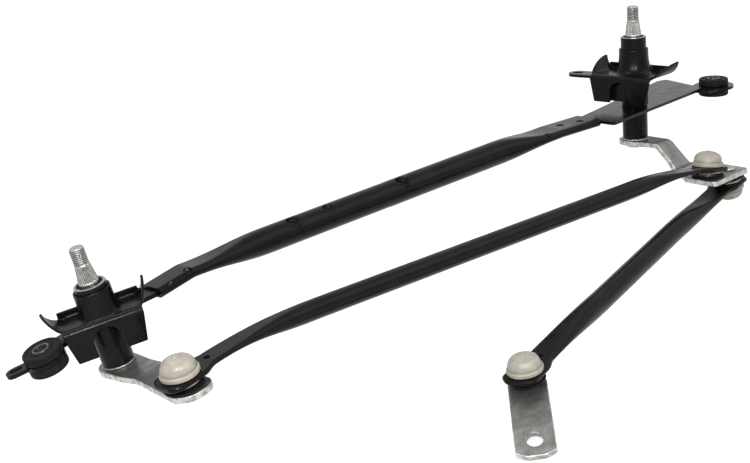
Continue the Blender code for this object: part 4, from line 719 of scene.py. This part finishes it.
def ball_socket(name, body, matrix):
    """A nylon cup: a dimpled pip, a squarish dome (R sin(a)^q, H cos(a)^q) with a shallow crease, a broad
    flange, the neck and lip through the rod, and a round seat inside."""
    low = FIT - ROD_DEPTH
    shoulder = low + SOCKET_FLANGE_HEIGHT
    crown = shoulder + DOME_HEIGHT
    lip = SOCKET_FOOT + SOCKET_LIP_HEIGHT
    pip = soft_line([(0.0, crown, 0.0), (0.0006, crown, FINE), (0.0010, crown + 0.0005, SOFT),
                     (0.0015, crown + 0.0004, SOFT), (0.0019, crown - 0.00005, 0.0)], steps=4)
    angle = np.linspace(0.0, DOME_FOOT_ANGLE, 40)[3:]
    radius = DOME_RADIUS * np.sin(angle) ** DOME_SQUARE
    crease = np.exp(-((radius - DOME_CREASE) / CREASE_WIDTH) ** 2)
    height = shoulder + DOME_HEIGHT * np.cos(angle) ** DOME_SQUARE - CREASE_DEPTH * crease
    rim = soft_line([(DOME_RADIUS, shoulder + ROUND, 0.0), (DOME_RADIUS + FINE, shoulder - SOFT, BROAD),
                     (SOCKET_FLANGE, shoulder - 0.0007, 0.0012), (SOCKET_FLANGE, low, ROUND), (SOCKET_NECK, low, FINE),
                     (SOCKET_NECK, lip, FINE), (SOCKET_LIP, lip, BROAD), (SOCKET_LIP, SOCKET_FOOT, PLUMP),
                     (SOCKET_MOUTH, SOCKET_FOOT, SOFT)], steps=6)
    mouth = np.radians(np.linspace(120.0, 0.0, 24))
    seat = SOCKET_MOUTH * np.stack([np.sin(mouth), np.cos(mouth)], axis=1)
    profile = np.concatenate([pip, np.stack([radius, height], axis=1), rim, seat])
    reach, level = profile[:, :1], profile[:, 1:]
    # Painted shade in the dome's crease and in the corner where the dome meets the flange.
    crease_shade = 0.3 * np.exp(-((reach - DOME_CREASE) / BROAD) ** 2) * (level > shoulder)
    dome_foot_shade = 0.6 * np.exp(-((reach - DOME_RADIUS) / PLUMP) ** 2) * (np.abs(level - shoulder) < 0.0008)
    fit(lathe(name + "_cup", profile, matrix, 96, marks={"groove": crease_shade + dome_foot_shade}), body, "cream_nylon", name)


# Rods
ROD_TIP = 0.0145
ROD_HEAD_WIDTH = 0.0264
ROD_FLAT, ROD_TAPER = 0.022, 0.090
ROD_CORNER = 0.0062
CORNER_POWER = 1.35
ROD_HOLE = 0.021


def rod_size(reach, diameter):
    """Width and height of a rod at a distance from a ball: round-ended head, narrower neck, then a taper
    in which the width eases to the diameter and the height rises late to it."""
    neck = 1.25 * diameter
    width = ROD_HEAD_WIDTH + (neck - ROD_HEAD_WIDTH) * ease((reach - 0.009) / 0.013)
    width = width + (diameter - neck) * ease((reach - ROD_FLAT) / ROD_TAPER)
    height = ROD_THICKNESS + (diameter - ROD_THICKNESS) * late_ease((reach - ROD_FLAT) / ROD_TAPER)
    corner = np.clip((ROD_CORNER - ROD_TIP - reach) / ROD_CORNER, 0.0, 1.0)
    width = width - 2 * ROD_CORNER * (1 - (1 - corner ** CORNER_POWER) ** (1 / CORNER_POWER))
    lip = np.clip((0.0006 - ROD_TIP - reach) / 0.0006, 0.0, 1.0)
    round_over = 0.0012 * (1 - np.sqrt(1 - lip ** 2))
    return width - round_over, height - round_over


def rod_climb(reach, bend):
    """Height gained by the middle line when the end is bent down by an angle, between 20 and 75 mm."""
    over = np.clip(reach - 0.020, 0.0, 0.055)
    return math.tan(math.radians(bend)) * (np.minimum(reach, 0.075) - over * over / 0.11)


def pressed_rod(name, body, matrix, length, diameter, ends, seats, dents=()):
    """A tube rod along local X, flat and bent at both ends, with socket and drain holes in the flats."""
    tip = ROD_TIP - 0.0085 * (1 - np.cos(np.linspace(0.0, math.pi / 2, 16)))
    body_run = np.linspace(-tip[-1], length + tip[-1], int(length / 0.0011))
    s = np.concatenate([-tip[:-1], body_run, length + tip[:-1][::-1]])
    reach = np.minimum(s, length - s)
    width, height = rod_size(reach, diameter)
    share = np.clip((s - ROD_FLAT - ROD_TAPER) / (length - 2 * ROD_FLAT - 2 * ROD_TAPER), 0.0, 1.0)
    near = ends[0][0] + rod_climb(s, ends[0][1])
    far = ends[1][0] + rod_climb(length - s, ends[1][1])
    lift = near * (1 - share) + far * share
    centres = np.stack([s, 0 * s, lift], axis=1)
    up = np.broadcast_to([0.0, 0.0, 1.0], centres.shape)
    rod = pressed_tube(name + "_pressing", centres, up, width, height, 64, dents)
    tools = []
    for start, way, seat in ((0.0, 1, seats[0]), (length, -1, seats[1])):
        local = np.linalg.inv(matrix) @ seat
        tools.append(set_down(peg(SOCKET_NECK + 0.0002, -0.012, 0.012), local))
        tools.append(set_down(peg(0.0022, -0.012, 0.012, (way * ROD_HOLE, 0.0), 0.0, 40), local))
    combined(rod, tools, 'DIFFERENCE')
    fit(set_down(rod, matrix), body, "black_paint", name)


# Cross tube
TUBE_DIAMETER, TUBE_WALL = 0.019, 0.0017
TUBE_PRESS = 0.075


def cross_tube():
    """The frame's tube: hollow and flat over both tongues, bent, round along the middle, with press marks."""
    ends = ((LEFT, (0.043, 0.0062, -0.030), 0.029, 0.0155, 0.003),
            (RIGHT, (-0.060, 0.002, -0.0605), -0.045, 0.021, 0.0025))
    feet = [moved(np.array(foot), pivot) for pivot, foot, flat, tongue, sheet in ends]
    bends = [moved(np.array(foot) + [flat, 0.0, 0.0], pivot) for pivot, foot, flat, tongue, sheet in ends]
    span = np.linalg.norm(bends[1] - bends[0])
    run = (bends[1] - bends[0]) / span
    rows = []
    for (pivot, foot, flat, tongue, sheet), start, bend, way in zip(ends, feet, bends, (1, -1)):
        height = sheet + 2 * FIT + 2 * TUBE_WALL
        width = tongue + height
        flat_length = np.linalg.norm(bend - start)
        s = np.linspace(0.0, flat_length + span / 2, 440)
        on_flat = start + (bend - start) * (np.minimum(s, flat_length) / flat_length)[:, None]
        centres = on_flat + way * run * np.maximum(s - flat_length, 0.0)[:, None]
        kernel = np.hanning(15) / np.hanning(15).sum()
        padded = np.concatenate([2 * centres[:1] - centres[7:0:-1], centres, 2 * centres[-1:] - centres[-2:-9:-1]])
        centres = np.stack([np.convolve(padded[:, k], kernel, 'valid') for k in range(3)], axis=1)
        share = (s - flat_length) / TUBE_PRESS
        wide = width + (TUBE_DIAMETER - width) * ease(share)
        tall = height + (TUBE_DIAMETER - height) * late_ease(share)
        inside = np.linspace(0.024, 0.0, 8)
        inner = start + (bend - start) * (inside / flat_length)[:, None]
        shrink = np.concatenate([0 * inside + 2 * TUBE_WALL, [0.6 * TUBE_WALL], 0 * s])
        centres = np.concatenate([inner, start[None] - (bend - start) / flat_length * 0.0001, centres])
        wide = np.concatenate([0 * inside + width, [width], wide]) - shrink
        tall = np.concatenate([0 * inside + height, [height], tall]) - shrink
        ups = np.broadcast_to(pivot[:3, 2], centres.shape)
        rows.append((centres, ups, wide, tall))
    (lc, lu, lw, lt), (rc, ru, rw, rt) = rows
    up = np.array([0.0, 0.0, 1.0]) - run * run[2]
    up /= np.linalg.norm(up)
    side = np.cross(up, run)
    dents = []
    for along, angle, radius, depth in ((0.0911, -33.4, 0.0060, 0.0030), (0.1236, -26.9, 0.0042, 0.0022),
                                        (0.1958, -37.6, 0.0058, 0.0030)):
        out = up * math.cos(math.radians(angle)) + side * math.sin(math.radians(angle))
        dents.append((bends[0] + run * along + out * TUBE_DIAMETER / 2, -out, radius, depth))
    for pivot, spots in ((LEFT, ((0.0512, -0.0051, -0.0265), (0.069, -0.0009, -0.0265))),
                         (RIGHT, ((-0.1229, -0.0094, -0.0572), (-0.0938, 0.0028, -0.0572), (-0.0745, -0.002, -0.0572)))):
        for spot in spots:
            dents.append((moved(np.array(spot), pivot), -pivot[:3, 2], 0.0031, 0.0023))
    tube = pressed_tube("cross_tube", np.concatenate([lc, rc[-2::-1]]), np.concatenate([lu, ru[-2::-1]]),
                        np.concatenate([lw, rw[-2::-1]]), np.concatenate([lt, rt[-2::-1]]), 96, dents, run)
    fit(tube, "frame", "black_paint", "frame_tube")


# Levers and crank
def left_lever():
    """The flat left lever: a slight rise, a waist and an end cut round its ball."""
    reach, side = LEFT_REACH, LEFT_SIDE
    middle = LEFT_LEVER_TOP - LEVER_THICKNESS / 2
    end = reach + 0.0155
    line = soft_line([(-0.028, middle, 0.0), (0.020, middle, 0.012), (0.036, middle + 0.0015, 0.012),
                      (end + 0.014, middle + 0.0015, 0.0)], steps=24)
    outline = soft_line([(-0.014, -0.014, 0.014), (0.035, -0.0124, 0.028), (reach + 0.0042, side - 0.0126, 0.0012),
                         (end, side - 0.0063, 0.0126), (end, side + 0.0136, 0.0136), (0.035, 0.0097, 0.028),
                         (-0.014, 0.014, 0.014)], closed=True, steps=24)
    lever = plate("left_drive_lever", outline, dense(line), LEVER_THICKNESS)
    tools = [peg(SHAFT_RADIUS + 0.0002, -0.08, -0.04), peg(STUD_SHANK + 0.0002, -0.08, -0.04, (reach, side))]
    combined(lever, tools, 'DIFFERENCE')
    fit(set_down(lever, LEFT_LEVER_FRAME), "left_pivot", "zinc_plate", "left_lever")


def right_lever():
    """The right lever: a step down from its pivot to a broad pad for two balls."""
    reach, side, far = RIGHT_REACH, RIGHT_SIDE, LOWER_SIDE
    middle = RIGHT_LEVER_TOP - LEVER_THICKNESS / 2
    bottom, end = 0.039, reach + 0.0165
    line = soft_line([(-0.028, middle, 0.0), (0.026, middle, 0.006), (bottom, middle - RIGHT_LEVER_DROP, 0.006),
                      (end + 0.014, middle - RIGHT_LEVER_DROP, 0.0)], steps=24)
    outline = soft_line([(-0.014, -0.014, 0.014), (0.026, -0.0065, 0.014), (bottom, 0.0025, 0.014),
                         (0.065, side - 0.0133, 0.0042), (end, side - 0.0133, 0.0042), (end - 0.004, far + 0.0133, 0.0042),
                         (0.065, far + 0.0133, 0.0084), (bottom + 0.0042, 0.0262, 0.014), (0.026, 0.013, 0.014),
                         (-0.014, 0.014, 0.014)], closed=True, steps=24)
    lever = plate("right_drive_lever", outline, dense(line, 0.0002), LEVER_THICKNESS, count=420)
    tools = [peg(SHAFT_RADIUS + 0.0002, -0.12, -0.07), peg(STUD_SHANK + 0.0002, -0.14, -0.08, (reach, side)),
             peg(STUD_SHANK + 0.0002, -0.14, -0.08, (LOWER_REACH, far))]
    combined(lever, tools, 'DIFFERENCE')
    fit(set_down(lever, RIGHT_LEVER_FRAME), "right_pivot", "zinc_plate", "right_lever")


def crank():
    """The motor crank: flat, with a bent end that holds the motor shaft's hole."""
    middle, half, bend = CRANK_MIDDLE, CRANK_WIDTH / 2, CRANK_LENGTH - CRANK_SETBACK
    angle = math.radians(CRANK_BEND)
    run = CRANK_SETBACK + CRANK_TAIL
    end = bend + run * math.cos(angle)
    line = soft_line([(-0.025, middle, 0.0), (bend, middle, 0.004),
                      (bend + 2 * run * math.cos(angle), middle - 2 * run * math.sin(angle), 0.0)], steps=24)
    outline = soft_line([(-0.0125, -half, half), (end - 0.0035, -half, 0.00225), (end, -half / 2, half),
                         (end, half / 2, half), (end - 0.0035, half, 0.00225), (-0.0125, half, half)],
                        closed=True, steps=24)
    arm = plate("motor_crank_arm", outline, dense(line, 0.0002), CRANK_THICKNESS, 0.0007, count=320)
    hole = set_down(peg(0.0055, -0.0022, 0.0022, (CRANK_SETBACK, 0.0), 0.0004), np.linalg.inv(CRANK) @ CRANK_END)
    combined(arm, [peg(STUD_SHANK + 0.0002, -0.03, 0.0), hole], 'DIFFERENCE')
    fit(set_down(arm, CRANK), "motor_crank", "zinc_plate", "motor_crank")


# Saddles
SADDLE_BACK, BACK_RISE, LIP_SPREAD = 0.011, 0.0048, 0.0058
FOLD = 0.0032
BOSS_RADIUS, BOSS_STRAIGHT = 0.0122, 0.004
ARCH_RADIUS, ARCH_CROWN = 0.0093, 0.0052
WING_FOOT, WING_FRONT = 0.0006, 0.0042
WING_CURL = math.radians(82)
WING_HASTE = 0.38


def saddle(side, matrix, width, reach, depth, wall, boss_top, boss_foot, wings, shade_sheet_setback=None):
    """A stamped housing: a sheet folded up behind and down in front, flared wings at both ends and a boss
    drawn up round the tube, fused and softened to one pressing, with its bore and front arch cut."""
    deck, front, rear = -depth - SHEET / 2, SHEET / 2 - reach, SADDLE_BACK - SHEET / 2
    line = soft_line([(rear, BACK_RISE - depth, 0.0), (rear, deck, FOLD), (front, deck, FOLD),
                      (front, -depth - wall, 0.0)], steps=10)
    ahead = np.gradient(line, axis=0)
    ahead /= np.linalg.norm(ahead, axis=1)[:, None]
    normal = np.stack([-ahead[:, 1], ahead[:, 0]], axis=1) * SHEET / 2
    ribbon = np.concatenate([line + normal, (line - normal)[::-1]])
    rows = np.stack([np.concatenate([0 * ribbon[:, :1] + x, ribbon], axis=1) for x in (-width / 2, width / 2)])
    sheet = skin(side + "_housing", rows)
    tools = [wing(way, width, front, rear, deck, wall + depth, out, lift) for way, out, lift in wings]
    for start in (0.001 - width / 2 - LIP_SPREAD, width / 2 - 0.001):
        tools.append(box_tool((start, SADDLE_BACK - SHEET, deck), (start + LIP_SPREAD, SADDLE_BACK, BACK_RISE - depth)))
    tools.append(saddle_boss(reach, depth, boss_top, boss_foot))
    # An inner sheet behind the front arch, added so that the arch shows dark: a black sheet standing in for shade.
    if shade_sheet_setback:
        tools.append(box_tool((0.001 - width / 2, front + shade_sheet_setback, 0.0002 - depth - wall),
                              (width / 2 - 0.001, front + shade_sheet_setback + 0.8 * SHEET, deck)))
    combined(sheet, tools, 'UNION')
    arch_top = -depth - ARCH_CROWN - ARCH_RADIUS
    low = -depth - wall - SHEET
    hoop = np.concatenate([[(ARCH_RADIUS, low)], arc((0.0, arch_top), ARCH_RADIUS, 0.0, 180.0, 48),
                           [(-ARCH_RADIUS, low)]])
    arch = skin("arch", np.stack([np.stack([hoop[:, 0], 0 * hoop[:, 0] + y, hoop[:, 1]], axis=1)
                                  for y in (front - SHEET, front + SHEET)]))
    bore = peg(TUBE_OUTER + FIT, -2 * depth, 0.001, count=128)
    combined(sheet, [bore, arch], 'DIFFERENCE', soften)
    fit(set_down(sheet, matrix), "frame", "black_paint", side + "_saddle")


def saddle_boss(reach, depth, top, foot_radius):
    """The boss: straight at its top, then flared by a quarter ellipse to its foot, cut off at the front wall
    and behind the tube."""
    shoulder, foot = -top - BOSS_STRAIGHT, FIT - depth - SHEET
    drop, spread = shoulder + depth - FIT, foot_radius - BOSS_RADIUS
    bend = np.linspace(0.0, math.pi / 2, 24)
    flare = np.stack([foot_radius - spread * np.cos(bend), shoulder - drop * np.sin(bend)], axis=1)
    head = soft_line([(0.0, -top, 0.0), (BOSS_RADIUS, -top, 0.0005), (BOSS_RADIUS, shoulder, 0.0)])
    profile = np.concatenate([head, flare[1:], [(foot_radius, foot), (0.0, foot)]])
    boss = lathe("boss", profile, np.eye(4), 128)
    limit = box_tool((-2 * foot_radius, 1.5 * SHEET - reach, 2 * foot), (2 * foot_radius, BOSS_RADIUS + SHEET / 4, 0.0))
    return combined(boss, [limit], 'INTERSECT')


def soften(item):
    """Rounds a pressing's edges and inner corners: an even fine mesh, then a few rounds of smoothing."""
    remesh = item.modifiers.new("even", 'REMESH')
    remesh.mode = 'VOXEL'
    remesh.voxel_size = 0.00042
    smooth = item.modifiers.new("soft", 'SMOOTH')
    smooth.factor = 0.5
    smooth.iterations = 8


def box_tool(low, high):
    """A closed box between two corners."""
    (x0, y0, z0), (x1, y1, z1) = low, high
    ring = np.array([(x0, y0), (x1, y0), (x1, y1), (x0, y1)])
    return skin("box", np.stack([np.concatenate([ring, 0 * ring[:, :1] + z], axis=1) for z in (z0, z1)]))


def wing(way, width, front, rear, deck, foot, out_back, lift_back):
    """One flared flange.  Along, it climbs the front wall, rounds the fold and crosses the deck.  Across, it
    leaves the sheet level and curls up by a quarter ellipse, out sin(c) and lift (1 - cos(c)), which grows
    towards the back; its two faces lie half a sheet to each side along the true normal."""
    climb = np.linspace(0.0001 - foot, deck - FOLD, 14)
    turn = np.radians(np.linspace(180.0, 90.0, 10))[1:]
    cross = np.linspace(front + FOLD, rear, 18)[1:]
    y = np.concatenate([0 * climb + front, front + FOLD + FOLD * np.cos(turn), cross])
    z = np.concatenate([climb, deck - FOLD + FOLD * np.sin(turn), 0 * cross + deck])
    grow = np.concatenate([np.linspace(0.0, 1.0, 14), 0 * turn + 1, 0 * cross + 1])
    share = np.concatenate([0 * climb, 0 * turn, ease((cross - front - FOLD) / (rear - front - FOLD)) ** WING_HASTE])
    ahead = np.stack([np.gradient(y), np.gradient(z)], axis=1)
    ahead /= np.linalg.norm(ahead, axis=1)[:, None]
    out = WING_FOOT + (WING_FRONT - WING_FOOT) * grow + (out_back - WING_FRONT) * share
    curl = np.linspace(0.0, WING_CURL, 14)
    across = width / 2 + out[:, None] * np.sin(curl) / math.sin(WING_CURL)
    rise = lift_back * share[:, None] * (1 - np.cos(curl)) / (1 - math.cos(WING_CURL))
    across = np.concatenate([0 * out[:, None] + width / 2 - 0.0012, across], axis=1)
    rise = np.concatenate([0 * out[:, None], rise], axis=1)
    lean = np.stack([np.gradient(across, axis=1), np.gradient(rise, axis=1)], axis=-1)
    lean /= np.linalg.norm(lean, axis=-1)[..., None]
    middle = np.stack([way * across, y[:, None] + 0 * across, z[:, None] + rise], axis=-1)
    offset = np.stack([-way * lean[..., 1], -ahead[:, 1:] * lean[..., 0], ahead[:, :1] * lean[..., 0]], axis=-1)
    offset *= SHEET / 2 - FIT / 2
    return skin("wing", np.concatenate([middle + offset, (middle - offset)[:, ::-1]], axis=1))


# Rubber mounts
def grommet(side, matrix, sheet):
    """A waisted rubber mount: rounded rims, a shallow ring moulded in each face, a groove for the plate."""
    half, groove, bore = 0.0074, sheet / 2 + FIT, 0.0061
    upper = [(bore, half, 0.0006), (0.0074, half, 0.0004), (0.0078, half - 0.0006, 0.0003),
             (0.0098, half - 0.0006, 0.0003), (0.0103, half, 0.0004), (0.0128, half, 0.0018), (0.0128, groove, 0.0005),
             (0.0082, groove, 0.0003)]
    lower = [(radius, -height, soft) for radius, height, soft in upper[::-1]]
    profile = soft_line(upper + lower, closed=True, steps=6)
    fit(lathe(side + "_rubber_mount", profile, matrix, loop=True), "frame", "black_rubber", side + "_grommet")
    stand = half + 0.0004
    profile = soft_line([(0.0058, stand, 0.0004), (0.0058, -stand, 0.0004), (0.0043, -stand, 0.0004),
                         (0.0043, stand, 0.0004)], closed=True, steps=4)
    spacer = lathe(side + "_spacer", profile, matrix, 72, loop=True)
    fit(spacer, "frame", "zinc_plate", side + "_grommet_sleeve", finish="dark_steel")


# Making the part
for side, body, matrix, length, lever_top in (
        ("left", "left_pivot", LEFT, LEFT_TUBE_LENGTH, LEFT_LEVER_TOP),
        ("right", "right_pivot", RIGHT, RIGHT_TUBE_LENGTH, RIGHT_LEVER_TOP)):
    pivot_tube(side, matrix, length)
    shaft_seal(side, matrix)
    pivot_shaft(side, body, matrix, lever_top)
    thrust_washer(side, body, matrix, lever_top)
for name, body, matrix in (("left", "left_pivot", LEFT_BALL), ("right_upper", "right_pivot", UPPER_BALL),
                           ("right_lower", "right_pivot", LOWER_BALL)):
    ball_stud(name + "_ball_stud", body, matrix, BALL_HEIGHT, LEVER_THICKNESS)
    ball_boot(name + "_ball_boot", body, matrix, BALL_HEIGHT)
ball_stud("motor_crank_ball_stud", "motor_crank", CRANK, CRANK_BALL_HEIGHT, CRANK_THICKNESS)
for name, body, matrix in (("tie_rod_right_socket", "tie_rod", TIE_NEAR), ("tie_rod_left_socket", "tie_rod", TIE_FAR),
                           ("drive_rod_lever_socket", "drive_rod", DRIVE_SEAT),
                           ("drive_rod_motor_socket", "drive_rod", DRIVE_FAR)):
    ball_socket(name, body, matrix)
rod_boot("drive_rod_motor_boot", "drive_rod", DRIVE_FAR)
pressed_rod("tie_rod", "tie_rod", TIE_ROD, TIE_LENGTH, TIE_ROD_DIAMETER,
            ((ROD_MIDDLE, TIE_NEAR_BEND), (ROD_MIDDLE, TIE_FAR_BEND)), (TIE_NEAR, TIE_FAR))
pressed_rod("drive_rod", "drive_rod", DRIVE_ROD, DRIVE_LENGTH, DRIVE_ROD_DIAMETER,
            ((-ROD_MIDDLE, 0.0), (ROD_MIDDLE, DRIVE_FAR_BEND)), (DRIVE_ROD, DRIVE_FAR))
cross_tube()
left_lever()
right_lever()
crank()
saddle("left", LEFT_SADDLE_FRAME, 0.0435, 0.015, 0.0205, 0.023, 0.0035, 0.0146,
       ((-1, 0.0140, 0.0095), (1, 0.0098, 0.0118)))
# The right saddle gets the inner sheet that stands in for shade behind its arch.
saddle("right", RIGHT_SADDLE_FRAME, 0.049, 0.024, 0.030, 0.0225, 0.010, 0.017,
       ((-1, 0.0085, 0.0120), (1, 0.0120, 0.0105)),
       shade_sheet_setback=0.0050)
grommet("left", LEFT_EYE, ARM_THICKNESS)
grommet("right", RIGHT_EYE, PLATE_THICKNESS)

# Solids that stay, in their finishes
KEPT = {
    "black_paint": ("left_mount_arm", "right_bracket_plate", "right_mount_strap"),
    "bright_steel": ("left_retaining_ring", "right_retaining_ring"),
    "bush_bronze": ("left_upper_bush", "left_lower_bush", "right_upper_bush", "right_lower_bush"),
}
for slot, nodes in KEPT.items():
    for name in nodes:
        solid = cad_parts[name].data
        solid.materials.clear()
        solid.materials.append(FINISHES[slot])

# Stage, light and camera
low = np.array(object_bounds()[0])
floor_mesh = bpy.data.meshes.new("floor")
corners = np.array([(-1, -1), (1, -1), (1, 1), (-1, 1)]) * 6.0 + [0.35, 0.0]
floor_mesh.from_pydata(np.concatenate([corners, 0 * corners[:, :1] + low[2] - 0.0005], axis=1).tolist(), [], [(0, 1, 2, 3)])
floor = bpy.data.objects.new("floor", floor_mesh)
scene.collection.objects.link(floor)


def seen_rays(tree):
    """1 for camera, glossy and transmission rays, 0 for the rest."""
    path = node(tree, 'ShaderNodeLightPath')
    either = node(tree, 'ShaderNodeMath', operation='MAXIMUM')
    tree.links.new(path.outputs["Is Camera Ray"], either.inputs[0])
    tree.links.new(path.outputs["Is Glossy Ray"], either.inputs[1])
    every = node(tree, 'ShaderNodeMath', operation='MAXIMUM')
    tree.links.new(either.outputs[0], every.inputs[0])
    tree.links.new(path.outputs["Is Transmission Ray"], every.inputs[1])
    return every.outputs[0]


def pale_floor():
    """White to the eye and in reflections, with part of it still lit so that the shadow stays."""
    material = bpy.data.materials.new("pale_floor")
    material.use_nodes = True
    tree = material.node_tree
    tree.nodes.clear()
    lit = node(tree, 'ShaderNodeBsdfDiffuse', {"Color": (0.35, 0.35, 0.35, 1.0)})
    glow = node(tree, 'ShaderNodeEmission', {"Color": (1.0, 1.0, 1.0, 1.0), "Strength": ramp(
        tree, seen_rays(tree), 0.0, 1.0, 0.0, 0.86)})
    both = node(tree, 'ShaderNodeAddShader')
    tree.links.new(lit.outputs[0], both.inputs[0])
    tree.links.new(glow.outputs[0], both.inputs[1])
    out = node(tree, 'ShaderNodeOutputMaterial')
    tree.links.new(both.outputs[0], out.inputs["Surface"])
    return material


floor_mesh.materials.append(pale_floor())
world = bpy.data.worlds.new("studio")
scene.world = world
world.use_nodes = True
sky = world.node_tree.nodes["Background"]
sky.inputs["Color"].default_value = (1.0, 1.0, 1.0, 1.0)
world.node_tree.links.new(ramp(world.node_tree, seen_rays(world.node_tree), 0.0, 1.0, 0.45, 1.0), sky.inputs["Strength"])


def soft_box(name, place, aim, size, power):
    """A square soft light that faces a point."""
    lamp = bpy.data.lights.new(name, 'AREA')
    lamp.shape = 'SQUARE'
    lamp.size = size
    lamp.energy = power
    item = bpy.data.objects.new(name, lamp)
    back = np.array(place) - np.array(aim)
    across = np.cross([0.0, 1.0, 0.02], back)
    item.matrix_world = bpy_matrix(axes(place, across, back)).copy()
    scene.collection.objects.link(item)


soft_box("key_light", (-0.3, 0.2, 1.6), (0.35, -0.05, 0.0), 0.9, 9.0)
soft_box("fill_light", (1.5, -1.2, 1.1), (0.35, -0.05, 0.0), 1.2, 6.0)
soft_box("near_light", (-0.15, -0.99, 0.55), (0.30, -0.05, 0.0), 0.05, 9.0)
soft_box("side_light", (-0.55, -0.61, 0.64), (0.30, -0.05, 0.0), 0.05, 9.0)

camera_data = bpy.data.cameras.new("photo_view")
camera_data.sensor_width = 36.0
camera_data.lens = 76.8
camera = bpy.data.objects.new("photo_view", camera_data)
camera.matrix_world = bpy_matrix(axes((-0.4337, -0.8343, 0.3598), (0.709627, -0.684138, -0.168476),
                                      (-0.614557, -0.717955, 0.326895)))
scene.collection.objects.link(camera)
scene.camera = camera
scene.view_settings.view_transform = 'Standard'
